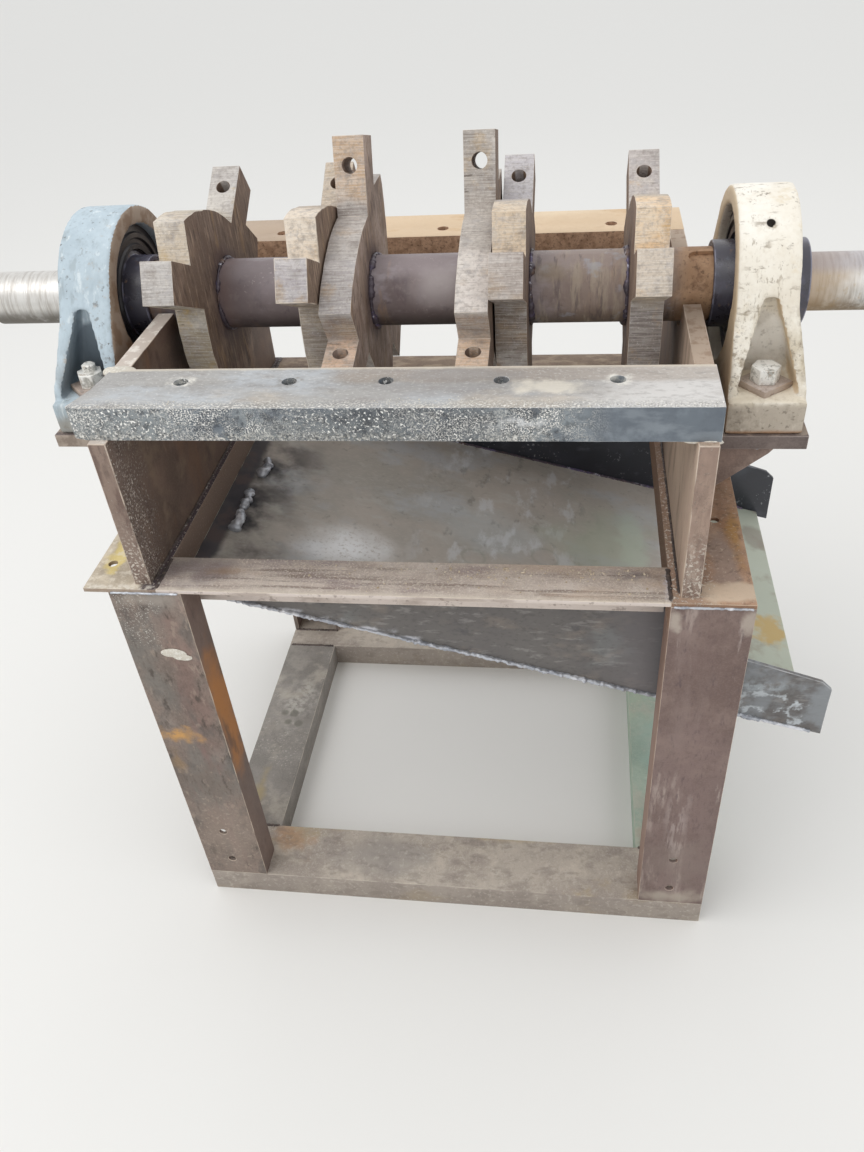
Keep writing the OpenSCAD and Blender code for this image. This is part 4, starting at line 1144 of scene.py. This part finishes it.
def settle(piece):
    """Moves a piece's place, turn and scale into its mesh."""
    pick(piece)
    bpy.ops.object.transform_apply(location=True, rotation=True, scale=True)


def edit_whole(piece, *steps):
    """Runs the steps on all of a piece's mesh in edit mode."""
    pick(piece)
    bpy.ops.object.mode_set(mode="EDIT")
    bpy.ops.mesh.select_all(action="SELECT")
    for step, values in steps:
        step(**values)
    bpy.ops.object.mode_set(mode="OBJECT")


def copy_of(node, name):
    """A merged copy of a CAD node, with its flat faces joined."""
    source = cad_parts[node]
    piece = bpy.data.objects.new(name, source.data.copy())
    bpy.context.scene.collection.objects.link(piece)
    piece.data.materials.clear()
    pick(piece)
    bpy.ops.mesh.customdata_custom_splitnormals_clear()
    edit_whole(piece, (bpy.ops.mesh.remove_doubles, {"threshold": MERGE}),
               (bpy.ops.mesh.dissolve_limited, {"angle_limit": FLAT_ANGLE}))
    return piece


def round_edges(piece, width, segments=2):
    """Rounds the sharp edges and marks the new narrow faces for the worn edge colour."""
    for slot in range(2):
        piece.data.materials.append(None)
    bevel = piece.modifiers.new("Rounding", "BEVEL")
    bevel.material = 1
    bevel.limit_method = "ANGLE"
    bevel.angle_limit = EDGE_ANGLE
    bevel.width = width
    bevel.segments = segments
    apply_all(piece)
    wear = piece.data.attributes.new(EDGE_NAME, "FLOAT", "CORNER")
    for face in piece.data.polygons:
        if face.material_index == 1:
            for corner in face.loop_indices:
                wear.data[corner].value = 1.0


def uneven(piece, size, strength, name):
    """Makes a surface slightly uneven with a cloud texture."""
    clouds = bpy.data.textures.new(name, "CLOUDS")
    clouds.noise_scale = size
    clouds.noise_depth = 2
    push = piece.modifiers.new("Uneven", "DISPLACE")
    push.texture = clouds
    push.texture_coords = "LOCAL"
    push.strength = strength
    push.mid_level = 0.5
    apply_all(piece)


def fuse(piece, voxel):
    """Fuses overlapping lumps of one mesh into a single skin."""
    skin = piece.modifiers.new("Fuse", "REMESH")
    skin.mode = "VOXEL"
    skin.voxel_size = voxel
    apply_all(piece)


def soften(piece, factor, steps):
    """Smooths a skin a little, so that it reads as melted or cast."""
    ease = piece.modifiers.new("Soften", "SMOOTH")
    ease.factor = factor
    ease.iterations = steps
    apply_all(piece)


def hand_over(piece, finish, slot, body, *replaced, smooth=True):
    """Gives a finished piece its material, shading and body; the slot it is given is not used."""
    piece.data.materials.clear()
    piece.data.materials.append(finish_for(finish))
    pick(piece)
    if smooth:
        bpy.ops.object.shade_smooth_by_angle(angle=SMOOTH_ANGLE)
    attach(piece, body)
    if replaced:
        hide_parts(*replaced)


def dressed(node, finish, slot, body="frame", width=None, segments=2):
    """Stands a copy with rounded, worn edges in for a CAD node."""
    piece = copy_of(node, node + "_steel")
    round_edges(piece, sizes().steel_edge if width is None else width, segments)
    hand_over(piece, finish, slot, body, node)


def spun(points, centre, axis, steps, closed=False):
    """Turns a half section once round an axis; a section that isn't closed starts and ends on the axis."""
    bpy.ops.mesh.primitive_plane_add(size=1.0)
    piece = bpy.context.object
    edit_whole(piece, (bpy.ops.mesh.delete, {"type": "VERT"}))
    count = len(points) if closed else len(points) - 1
    piece.data.from_pydata(points, [(k, (k + 1) % len(points)) for k in range(count)], [])
    edit_whole(piece, (bpy.ops.mesh.spin, {"steps": steps, "angle": math.tau, "center": centre, "axis": axis}))
    edit_whole(piece, (bpy.ops.mesh.remove_doubles, {"threshold": MERGE}),
               (bpy.ops.mesh.normals_make_consistent, {"inside": False}))
    return piece


def joined(pieces, name):
    """Joins pieces into one object of the given name."""
    pick(*pieces)
    if len(pieces) > 1:
        bpy.ops.object.join()
    piece = bpy.context.object
    piece.name = name
    return piece


def copies_of(first, count):
    """The first piece and copies of it, each with its own mesh."""
    pieces = [first]
    while len(pieces) < count:
        piece = first.copy()
        piece.data = first.data.copy()
        bpy.context.scene.collection.objects.link(piece)
        pieces.append(piece)
    return pieces


BEAD_PITCH = 0.62
RING_PITCH = 0.68
RIPPLE = (1.25, 1.0, 0.72)


def bead_lump(radius, pitch):
    """One ripple of a weld bead: a squashed drop leaning along the run."""
    bpy.ops.mesh.primitive_uv_sphere_add(segments=12, ring_count=8, radius=1.0)
    lump = bpy.context.object
    lump.scale = (pitch * RIPPLE[0], radius * RIPPLE[1], radius * RIPPLE[2])
    settle(lump)
    return lump


def straight_bead(start, end, radius, rng, swell=0.25):
    """A run of overlapping ripples from start to end, each a little off the line."""
    start, end = Vector(start), Vector(end)
    run = end - start
    pitch = radius * BEAD_PITCH
    count = max(2, int(run.length / pitch))
    lumps = copies_of(bead_lump(radius, pitch), count)
    turn = run.to_track_quat("X", "Z").to_matrix().to_4x4()
    for k, lump in enumerate(lumps):
        wide = 1 + rng.uniform(-swell, swell)
        off = Vector((0, rng.uniform(-0.2, 0.2) * radius, rng.uniform(-0.12, 0.12) * radius))
        place = start + run * (k + 0.5) / count
        size = Matrix.Diagonal((1, wide, 1 + rng.uniform(-swell, swell), 1))
        lump.matrix_world = Matrix.Translation(place) @ turn @ Matrix.Translation(off) @ size
    bead = joined(lumps, "bead")
    settle(bead)
    return bead


def ring_bead(x, ring_radius, radius, rng):
    """A run of ripples round the shaft axis at x."""
    pitch = radius * RING_PITCH
    count = int(math.tau * ring_radius / pitch)
    lumps = copies_of(bead_lump(radius, pitch), count)
    swells = [rng.choice((0.4, 0.6, 0.85, 1.25)) for k in range(count)]
    for k, lump in enumerate(lumps):
        turn = Matrix.Rotation(math.tau * k / count + rng.uniform(-0.02, 0.02), 4, "X")
        size = swells[k // 4] * rng.uniform(0.85, 1.2)
        out = Matrix.Translation((x, 0, ring_radius + rng.uniform(-0.1, 0.15) * radius))
        lie = Matrix.Rotation(math.pi / 2, 4, "Z") @ Matrix.Diagonal((1, size, size, 1))
        lump.matrix_world = Matrix.Translation((0, AXIS.y, AXIS.z)) @ turn @ out @ lie
    bead = joined(lumps, "ring_bead")
    settle(bead)
    return bead


def bead_piece(name, beads, finish, slot, body):
    """Melts ripples into one weld bead and hands it over."""
    piece = joined(beads, name)
    fuse(piece, sizes().bead_voxel)
    soften(piece, 0.5, 2)
    hand_over(piece, finish, slot, body)


def lump_at(place, size, seed):
    """A hand-sized lump of cement or slag: a squashed ball roughened twice."""
    bpy.ops.mesh.primitive_ico_sphere_add(subdivisions=4, radius=1.0)
    lump = bpy.context.object
    lump.scale = size
    settle(lump)
    uneven(lump, max(size) * 0.9, min(size) * 0.9, "lump_wide_%d" % seed)
    uneven(lump, max(size) * 0.25, min(size) * 0.35, "lump_fine_%d" % seed)
    lump.location = place
    settle(lump)
    return lump


def crumbs(count, spots, rng, biggest):
    """Scatters small angular crumbs on the given rectangles (x0, x1, y0, y1, z)."""
    bpy.ops.mesh.primitive_ico_sphere_add(subdivisions=1, radius=1.0)
    first = bpy.context.object
    uneven(first, 0.8, 0.5, "crumb_shape")
    pieces = copies_of(first, count + 1)[1:]
    for crumb in pieces:
        x0, x1, y0, y1, z = rng.choice(spots)
        size = biggest * (0.25 + 0.75 * rng.random() ** 3)
        crumb.scale = (size * rng.uniform(0.8, 1.4), size * rng.uniform(0.8, 1.4), size * rng.uniform(0.5, 0.9))
        crumb.rotation_euler = (rng.uniform(-0.4, 0.4), rng.uniform(-0.4, 0.4), rng.uniform(0, math.tau))
        crumb.location = (rng.uniform(x0, x1), rng.uniform(y0, y1), z + size * 0.25)
    bpy.data.objects.remove(first)
    return pieces


# ---------------------------------------------------------------- operators

LAMPS = (("key", (-1.4, -1.0, 3.4), 2.8, 38.0), ("fill", (2.6, -2.2, 1.8), 2.4, 5.0),
         ("back", (0.6, 2.8, 2.8), 2.4, 5.0))
LAMP_AIM = (0, 0, 0.6)
CAMERA_PLACE = (0.1874, -1.2246, 1.441)
CAMERA_TURNS = ((10.5, "Z"), (51.3, "X"), (-5.3, "Z"))
LENS = 29.63
SENSOR = 36.0
FLOOR_SIZE = 60.0


class CRUSHER_OT_stage(bpy.types.Operator):
    """Sets the floor, the lamps, the background and the camera"""
    bl_idname = "crusher.stage"
    bl_label = "Stage"

    def execute(self, context):
        scene = context.scene
        scene.view_settings.view_transform = "Standard"
        bpy.ops.mesh.primitive_plane_add(size=FLOOR_SIZE, location=(0, 0, 0))
        floor = context.object
        floor.name = "studio_floor"
        f = Finish("studio_floor_finish", colours().floor, 0.9, specular=0.1)
        floor.data.materials.append(f.done())
        for name, place, size, power in LAMPS:
            bpy.ops.object.light_add(type="AREA", location=place)
            lamp = context.object
            lamp.name = name + "_lamp"
            lamp.data.size = size
            lamp.data.energy = power
            lamp.rotation_euler = (Vector(LAMP_AIM) - Vector(place)).to_track_quat("-Z", "Y").to_euler()
        self.background(scene)
        self.camera(context)
        return {"FINISHED"}

    def background(self, scene):
        world = bpy.data.worlds.new("studio_world")
        scene.world = world
        world.use_nodes = True
        tree = world.node_tree
        tree.nodes.clear()
        soft = put(tree, "ShaderNodeBackground")
        soft.inputs["Color"].default_value = (0.96, 0.98, 1.0, 1.0)
        soft.inputs["Strength"].default_value = 0.95
        white = put(tree, "ShaderNodeBackground")
        white.inputs["Color"].default_value = (1, 1, 1, 1)
        rays = put(tree, "ShaderNodeLightPath")
        seen = maths(tree, "MAXIMUM", rays.outputs["Is Camera Ray"], rays.outputs["Is Glossy Ray"])
        seen = maths(tree, "MAXIMUM", seen, rays.outputs["Is Transmission Ray"])
        mix = put(tree, "ShaderNodeMixShader")
        out = put(tree, "ShaderNodeOutputWorld")
        fill(tree, mix.inputs[0], seen)
        tree.links.new(soft.outputs[0], mix.inputs[1])
        tree.links.new(white.outputs[0], mix.inputs[2])
        tree.links.new(mix.outputs[0], out.inputs["Surface"])

    def camera(self, context):
        data = bpy.data.cameras.new("camera")
        camera = bpy.data.objects.new("camera", data)
        context.scene.collection.objects.link(camera)
        data.sensor_width = SENSOR
        data.lens = LENS
        data.clip_start = 0.05
        place = Matrix.Translation(CAMERA_PLACE)
        first, second, third = (Matrix.Rotation(math.radians(angle), 4, axis) for angle, axis in CAMERA_TURNS)
        camera.matrix_world = place @ (first @ second @ third)
        context.scene.camera = camera


class CRUSHER_OT_stand(bpy.types.Operator):
    """Dresses the channel iron legs, base rails and top rails"""
    bl_idname = "crusher.stand"
    bl_label = "Stand"

    def execute(self, context):
        thin = sizes().thin_edge
        for node, finish, slot in (
                ("leg_front_left", "leg_brown", "channel_brown"), ("leg_rear_left", "leg_brown", "channel_brown"),
                ("leg_front_right", "leg_dark", "channel_dark"), ("leg_rear_right", "leg_dark", "channel_dark"),
                ("base_rail_front", "base_front", "base_grey"), ("base_rail_rear", "base_front", "base_grey"),
                ("base_rail_left", "base_left", "base_grey"), ("base_rail_right", "base_right", "base_green"),
                ("top_rail_front", "rail_front", "rail_tan"), ("top_rail_rear", "rail_rear", "rail_tan"),
                ("top_rail_left", "rail_left", "rail_pale"), ("top_rail_right", "rail_right", "rail_orange")):
            dressed(node, finish, slot, width=thin)
        return {"FINISHED"}


class CRUSHER_OT_housing(bpy.types.Operator):
    """Dresses the side walls and the flange bars"""
    bl_idname = "crusher.housing"
    bl_label = "Housing"

    def execute(self, context):
        dressed("side_wall_left", "wall_left", "wall_rust")
        dressed("side_wall_right", "wall_right", "wall_rust")
        dressed("flange_bar_front", "bar_slate", "bar_slate")
        dressed("flange_bar_rear", "bar_tan", "bar_tan")
        return {"FINISHED"}


class CRUSHER_OT_chute(bpy.types.Operator):
    """Dresses the chute floor and its cheeks"""
    bl_idname = "crusher.chute"
    bl_label = "Chute"

    def execute(self, context):
        thin = sizes().thin_edge
        dressed("chute_floor", "chute_floor", "chute_olive", width=thin)
        dressed("chute_cheek_front", "cheek_grey", "cheek_grey", width=thin)
        dressed("chute_cheek_rear", "cheek_black", "cheek_black", width=thin)
        return {"FINISHED"}


class CRUSHER_OT_brackets(bpy.types.Operator):
    """Dresses the bracket plates and their gussets"""
    bl_idname = "crusher.brackets"
    bl_label = "Brackets"

    def execute(self, context):
        for side in ("left", "right"):
            dressed("bracket_plate_" + side, "bracket_brown", "bracket_brown")
            dressed("gussets_" + side, "gusset", "bracket_brown")
        return {"FINISHED"}


class CRUSHER_OT_housings_cast(bpy.types.Operator):
    """Turns the bearing housings into uneven castings with filleted corners"""
    bl_idname = "crusher.housings_cast"
    bl_label = "Bearing housings"

    def execute(self, context):
        for side, finish in (("left", "housing_blue"), ("right", "housing_cream")):
            node = "pillow_block_" + side
            piece = copy_of(node, node + "_casting")
            fuse(piece, sizes().cast_voxel)
            soften(piece, 0.5, 5)
            uneven(piece, 0.035, sizes().cast_rough, "casting_wide_" + side)
            uneven(piece, 0.007, sizes().cast_rough * 0.3, "casting_fine_" + side)
            hand_over(piece, finish, finish, "frame", node)
        return {"FINISHED"}


SEAL_BORE = 61 * MM
SEAL_STEPS = 72
# width from the bore and height of the inner corners of a seal's half section
SEAL_GROOVES = ((0, 0.0), (0, 4.0), (6, 5.0), (8, 2.5), (13, 2.5), (15, 5.5), (21, 5.5), (23, 3.0))


class CRUSHER_OT_bearings(bpy.types.Operator):
    """Dresses the bearing rings and adds a grooved seal on each face"""
    bl_idname = "crusher.bearings"
    bl_label = "Bearings"

    def execute(self, context):
        for side in ("left", "right"):
            dressed("outer_ring_" + side, "bearing_shell", "bearing_steel")
            dressed("inner_ring_" + side, "bearing_dark", "bearing_steel", body="rotor", width=2 * MM)
            seals = [self.seal("outer_ring_" + side, way) for way in (-1, 1)]
            piece = joined(seals, "bearing_seals_" + side)
            hand_over(piece, "bearing_shell", "bearing_steel", "frame")
        return {"FINISHED"}

    def seal(self, node, way):
        """A disc with two grooves, spun from its half section."""
        a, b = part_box(node)
        face = b.x if way > 0 else a.x
        outer = (b.z - a.z) / 2 - 1.0 * MM
        inner = SEAL_BORE + sizes().seal_gap
        corners = [(inner + wide * MM, rise) for wide, rise in SEAL_GROOVES] + [(outer, 3.0), (outer, 0.0)]
        points = [(face + way * rise * MM, 0.0, AXIS.z + radius) for radius, rise in corners]
        return spun(points, (face, 0.0, AXIS.z), X_AXIS, SEAL_STEPS, closed=True)


THREAD_CORE = 7.6 * MM
THREAD_CREST = 9.0 * MM
THREAD_PITCH = 2.0 * MM
THREAD_TURNS = 5
THREAD_STEPS = 28


class CRUSHER_OT_fasteners(bpy.types.Operator):
    """Dresses the foot bolts and the square washer plates"""
    bl_idname = "crusher.fasteners"
    bl_label = "Fasteners"

    def execute(self, context):
        for side in ("left", "right"):
            dressed("foot_bolts_" + side, "bolt", "bolt_zinc", width=1.6 * MM, segments=3)
            dressed("washer_plates_" + side, "washer", "washer_rust", width=1.4 * MM)
        self.stud()
        return {"FINISHED"}

    def stud(self):
        """The threaded end that stands out of the front left nut."""
        place = middle("foot_bolts_left")
        x, y, z = place.x, low("foot_bolts_left").y + sizes().head_radius, high("foot_bolts_left").z - 1.0 * MM
        top = z + THREAD_TURNS * THREAD_PITCH
        section = [(0.0, z - 3.0 * MM), (THREAD_CORE, z - 3.0 * MM)]
        for turn in range(THREAD_TURNS):
            foot = z + turn * THREAD_PITCH
            section += [(THREAD_CORE, foot), (THREAD_CREST, foot + 0.5 * THREAD_PITCH)]
        section += [(THREAD_CORE, top), (THREAD_CORE - 1.2 * MM, top + 1.0 * MM), (0.0, top + 1.0 * MM)]
        points = [(x + radius, y, height) for radius, height in section]
        piece = spun(points, (x, y, z), Z_AXIS, THREAD_STEPS)
        piece.name = "stud_end_left"
        hand_over(piece, "bolt", "bolt_zinc", "frame")


class CRUSHER_OT_shaft(bpy.types.Operator):
    """Dresses the shaft"""
    bl_idname = "crusher.shaft"
    bl_label = "Shaft"

    def execute(self, context):
        dressed("shaft", "shaft", "shaft_steel", body="rotor", width=2.4 * MM, segments=3)
        return {"FINISHED"}


class CRUSHER_OT_arms(bpy.types.Operator):
    """Dresses the six torch-cut arm plates"""
    bl_idname = "crusher.arms"
    bl_label = "Arm plates"

    def execute(self, context):
        for index, node in enumerate(PLATES, 1):
            piece = copy_of(node, node + "_steel")
            self.waver(piece, index)
            round_edges(piece, 1.3 * MM)
            hand_over(piece, "arm_%d" % index, "arm_cut", "rotor", node)
        return {"FINISHED"}

    def waver(self, piece, index):
        """Splits the cut rims along their run and lets the torch line wander a little."""
        mesh = piece.data
        flat, cut, kept = set(), set(), set()
        for face in mesh.polygons:
            (flat if abs(face.normal.x) > 0.9 else cut).update(face.edge_keys)
            if abs(face.normal.x) < 0.9 and len(face.vertices) > 4:
                kept.update(face.vertices)
        centre = middle(PLATES[index - 1])
        pick(piece)
        bpy.ops.object.mode_set(mode="EDIT")
        bpy.ops.mesh.select_mode(type="EDGE")
        bpy.ops.mesh.select_all(action="DESELECT")
        bpy.ops.object.mode_set(mode="OBJECT")
        for edge in mesh.edges:
            a, b = (mesh.vertices[k].co for k in edge.vertices)
            rim = tuple(sorted(edge.vertices)) in flat & cut
            plain = not kept.intersection(edge.vertices)
            edge.select = rim and plain and (b - a).length > 0.012 and (a - centre).length > 0.06
        bpy.ops.object.mode_set(mode="EDIT")
        bpy.ops.mesh.subdivide(number_cuts=3)
        bpy.ops.object.mode_set(mode="OBJECT")
        rim = piece.vertex_groups.new(name="Rim")
        rim.add([vertex.index for vertex in mesh.vertices if vertex.select], 1.0, "REPLACE")
        for way in ("Y", "Z"):
            clouds = bpy.data.textures.new("torch_line_%d_%s" % (index, way), "CLOUDS")
            clouds.noise_scale = 0.018 + 0.004 * (index % 3)
            push = piece.modifiers.new("Waver", "DISPLACE")
            push.texture = clouds
            push.texture_coords = "LOCAL"
            push.direction = way
            push.strength = 2.4 * MM
            push.mid_level = 0.5
            push.vertex_group = "Rim"
            apply_all(piece)


ROTOR_GROUPS = ((0, 0), (1, 2), (3, 4), (5, 5))
ROTOR_SEAM = 46.5 * MM
GUSSET_Y = 0.175
GUSSET_HALF = 0.0075
GUSSET_RUN = (0.008, 0.082)
BRACKET_REACH = 0.165
END_GAP = 10 * MM
FLOOR_PLATE = 6 * MM
LEG_DEPTH = 51 * MM
BASE_HALF = 46 * MM
BASE_SEAM = 49.5 * MM
CHUTE_STITCHES = ((-0.310, 0.02, 0.07), (-0.315, -0.072, -0.024), (-0.313, -0.128, -0.082))
CHEEK_RUN = (-0.325, 0.53)
CHEEK_PARTS = 12


class CRUSHER_OT_welds(bpy.types.Operator):
    """Lays the weld beads of the rotor, the housing, the chute and the stand"""
    bl_idname = "crusher.welds"
    bl_label = "Weld beads"

    def execute(self, context):
        rng = random.Random(SEED)
        bead = sizes().bead
        self.rotor(rng, bead)
        self.brackets(rng, bead)
        self.walls(rng, bead)
        self.chute(rng, bead)
        self.stand(rng, bead)
        return {"FINISHED"}

    def rotor(self, rng, bead):
        faces = []
        for first, last in ROTOR_GROUPS:
            faces += [low(PLATES[first]).x - 0.3 * bead, high(PLATES[last]).x + 0.3 * bead]
        rings = [ring_bead(x, ROTOR_SEAM, bead * 0.95, rng) for x in faces]
        bead_piece("weld_beads_rotor", rings, "weld_blue", "shaft_steel", "rotor")

    def brackets(self, rng, bead):
        beads = []
        for out, way in ((WALL_L_OUT, -1), (WALL_R_OUT, 1)):
            x = out + way * 0.3 * bead
            for z in (BRACKET_LOW - 0.2 * bead, BRACKET_TOP + 0.2 * bead):
                beads.append(straight_bead((x, -BRACKET_REACH, z), (x, BRACKET_REACH, z), bead * 0.9, rng))
            for y in (-GUSSET_Y, GUSSET_Y):
                y, z = y - GUSSET_HALF, BRACKET_LOW - 0.3 * bead
                start, end = ((out + way * reach, y, z) for reach in GUSSET_RUN)
                beads.append(straight_bead(start, end, bead, rng))
        bead_piece("weld_beads_brackets", beads, "weld_silver", "bracket_brown", "frame")

    def walls(self, rng, bead):
        inner = (WALL_L + 0.001, WALL_R - 0.001)
        y = WALL_Y - END_GAP
        beads = [straight_bead((x, -y, RAIL_TOP), (x, y, RAIL_TOP), bead * 0.5, rng) for x in inner]
        beads += [straight_bead((x, -y, RAIL_TOP), (x, y, RAIL_TOP), bead * 0.8, rng)
                  for x in (WALL_L_OUT, WALL_R_OUT)]
        for x in inner:
            for way in (-1, 1):
                start, end = (x, way * (BAR_IN + 0.006), BAR_LOW), (x, way * (BAR_OUT - END_GAP), BAR_LOW)
                beads.append(straight_bead(start, end, bead * 0.8, rng))
        bead_piece("weld_beads_walls", beads, "weld_dark", "wall_rust", "frame")

    def floor_z(self, x):
        """Height of the sloping chute floor's upper side at x."""
        return FLOOR_Z + (FLOOR_LOW + FLOOR_PLATE - FLOOR_Z) * (x - FLOOR_X) / (FLOOR_END - FLOOR_X)

    def chute(self, rng, bead):
        beads = []
        for x, y0, y1 in CHUTE_STITCHES:
            turn, z = (x + 0.006, (y0 + y1) / 2), self.floor_z(x) + 0.3 * bead
            beads.append(straight_bead((x + 0.002, y0, z), (*turn, z), bead * 1.7, rng, 0.4))
            beads.append(straight_bead((*turn, z), (x, y1, z), bead * 1.5, rng, 0.4))
        bead_piece("weld_stitches_chute", beads, "weld_silver", "chute_olive", "frame")
        x0, x1 = CHEEK_RUN
        stops = [x0 + (x1 - x0) * k / CHEEK_PARTS for k in range(CHEEK_PARTS + 1)]
        points = [(x, -CHEEK_Y - 0.0005, self.floor_z(x) - 0.008) for x in stops]
        beads = [straight_bead(start, end, bead * rng.uniform(0.55, 0.9), rng, 0.4)
                 for start, end in zip(points, points[1:])]
        bead_piece("weld_bead_cheek_front", beads, "weld_silver", "cheek_grey", "frame")
        start, end = ((x, CHEEK_Y - 0.0065, self.floor_z(x)) for x in (-0.33, 0.5))
        bead_piece("weld_bead_cheek_rear", [straight_bead(start, end, bead * 0.7, rng)], "weld_blue", "cheek_black",
                   "frame")

    def stand(self, rng, bead):
        beads, legs = [], []
        foot = high("base_rail_front").z
        for node in ("leg_front_left", "leg_front_right"):
            a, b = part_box(node)
            x0, x1 = a.x + 0.004, b.x - 0.004
            for way in (-1, 1):
                y, y_foot = way * STAND_Y, way * STAND_Y - way * LEG_DEPTH
                legs.append(straight_bead((x0, y, b.z), (x1, y, b.z), bead * 0.5, rng))
                beads.append(straight_bead((x0, y_foot, foot), (x1, y_foot, foot), bead * 0.6, rng))
        for x in (low("top_rail_front").x, high("top_rail_front").x):
            for way in (-1, 1):
                y0, y1, z = way * (STAND_Y - 0.004), way * (CHEEK_Y + 0.004), RAIL_TOP - 0.001
                start, end = (x, y0, z), (x, y1, z)
                beads.append(straight_bead(start, end, bead * 0.7, rng))
        for x in (low("base_rail_left").x + 0.05, middle("base_rail_right").x):
            for way in (-1, 1):
                y = way * high("base_rail_left").y
                start, end = (x - BASE_HALF, y, BASE_SEAM), (x + BASE_HALF, y, BASE_SEAM)
                beads.append(straight_bead(start, end, bead * 0.6, rng))
        bead_piece("weld_beads_stand", beads, "weld_dark", "channel_brown", "frame")
        bead_piece("weld_beads_legs", legs, "weld_silver", "channel_dark", "frame")


# place and size of each lump
LUMPS = (
    ((-0.366, -0.216, BAR_TOP - 0.004), (0.022, 0.012, 0.006)),
    ((-0.352, -0.208, BAR_LOW + 0.012), (0.014, 0.010, 0.012)),
    ((0.338, -0.313, BAR_LOW - 0.002), (0.013, 0.005, 0.005)),
    ((0.318, -0.312, BAR_LOW - 0.001), (0.012, 0.004, 0.003)),
    ((-0.347, -0.336, 0.570), (0.019, 0.002, 0.008)),
    ((-0.335, -0.336, 0.562), (0.014, 0.002, 0.006)),
)
# x from and to, y from and to, and the height of each strewn strip
RAIL_STRIPS = ((-0.15, 0.30, -0.330, -0.274, RAIL_TOP), (0.02, 0.26, -0.300, -0.272, RAIL_TOP),
               (-0.08, 0.30, -0.285, -0.272, RAIL_TOP))
BAR_STRIPS = ((-0.36, 0.30, -0.314, -0.298, BAR_TOP), (-0.015, 0.10, -0.314, -0.290, BAR_TOP),
              (0.347, 0.366, -0.32, -0.08, RAIL_TOP))


class CRUSHER_OT_splashes(bpy.types.Operator):
    """Drops cement lumps and sand crumbs where the photograph shows them"""
    bl_idname = "crusher.splashes"
    bl_label = "Cement and sand"

    def execute(self, context):
        rng = random.Random(SEED + 1)
        lumps = [lump_at(place, size, seed) for seed, (place, size) in enumerate(LUMPS, 1)]
        piece = joined(lumps, "cement_lumps")
        fuse(piece, 1.5 * MM)
        hand_over(piece, "cement", "bar_slate", "frame")
        biggest = sizes().crumb
        for name, strips, largest, finish, slot in (
                ("sand_crumbs_rail", RAIL_STRIPS, biggest, "sand", "rail_tan"),
                ("cement_crumbs_bar", BAR_STRIPS, biggest * 0.6, "cement", "bar_slate")):
            piece = joined(crumbs(sizes().crumbs, strips, rng, largest), name)
            settle(piece)
            hand_over(piece, finish, slot, "frame", smooth=False)
        return {"FINISHED"}


# ---------------------------------------------------------------- panel and registration

STEPS = (CRUSHER_OT_stage, CRUSHER_OT_stand, CRUSHER_OT_housing, CRUSHER_OT_chute, CRUSHER_OT_brackets,
         CRUSHER_OT_housings_cast, CRUSHER_OT_bearings, CRUSHER_OT_fasteners, CRUSHER_OT_shaft, CRUSHER_OT_arms,
         CRUSHER_OT_welds, CRUSHER_OT_splashes)


class CRUSHER_PT_panel(bpy.types.Panel):
    """Lists the sizes, the colours and the steps"""
    bl_idname = "CRUSHER_PT_panel"
    bl_label = "Hammer crusher"
    bl_space_type = "VIEW_3D"
    bl_region_type = "UI"
    bl_category = "Crusher"

    def draw(self, context):
        for group in (context.scene.crusher_sizes, context.scene.crusher_colours):
            box = self.layout.box()
            for key in group.__annotations__:
                box.prop(group, key)
        for step in STEPS:
            self.layout.operator(step.bl_idname)


CLASSES = (CrusherSizes, CrusherColours, *STEPS, CRUSHER_PT_panel)


def register():
    for item in CLASSES:
        bpy.utils.register_class(item)
    bpy.types.Scene.crusher_sizes = PointerProperty(type=CrusherSizes)
    bpy.types.Scene.crusher_colours = PointerProperty(type=CrusherColours)


def unregister():
    del bpy.types.Scene.crusher_colours
    del bpy.types.Scene.crusher_sizes
    for item in reversed(CLASSES):
        bpy.utils.unregister_class(item)


def corners(box):
    return [list(corner) for corner in box]


def main():
    register()
    bpy.ops.crusher.stage()
    bpy.ops.crusher.stand()
    bpy.ops.crusher.housing()
    bpy.ops.crusher.chute()
    bpy.ops.crusher.brackets()
    bpy.ops.crusher.housings_cast()
    bpy.ops.crusher.bearings()
    bpy.ops.crusher.fasteners()
    bpy.ops.crusher.shaft()
    bpy.ops.crusher.arms()
    bpy.ops.crusher.welds()
    bpy.ops.crusher.splashes()


if __name__ == "__main__":
    main()
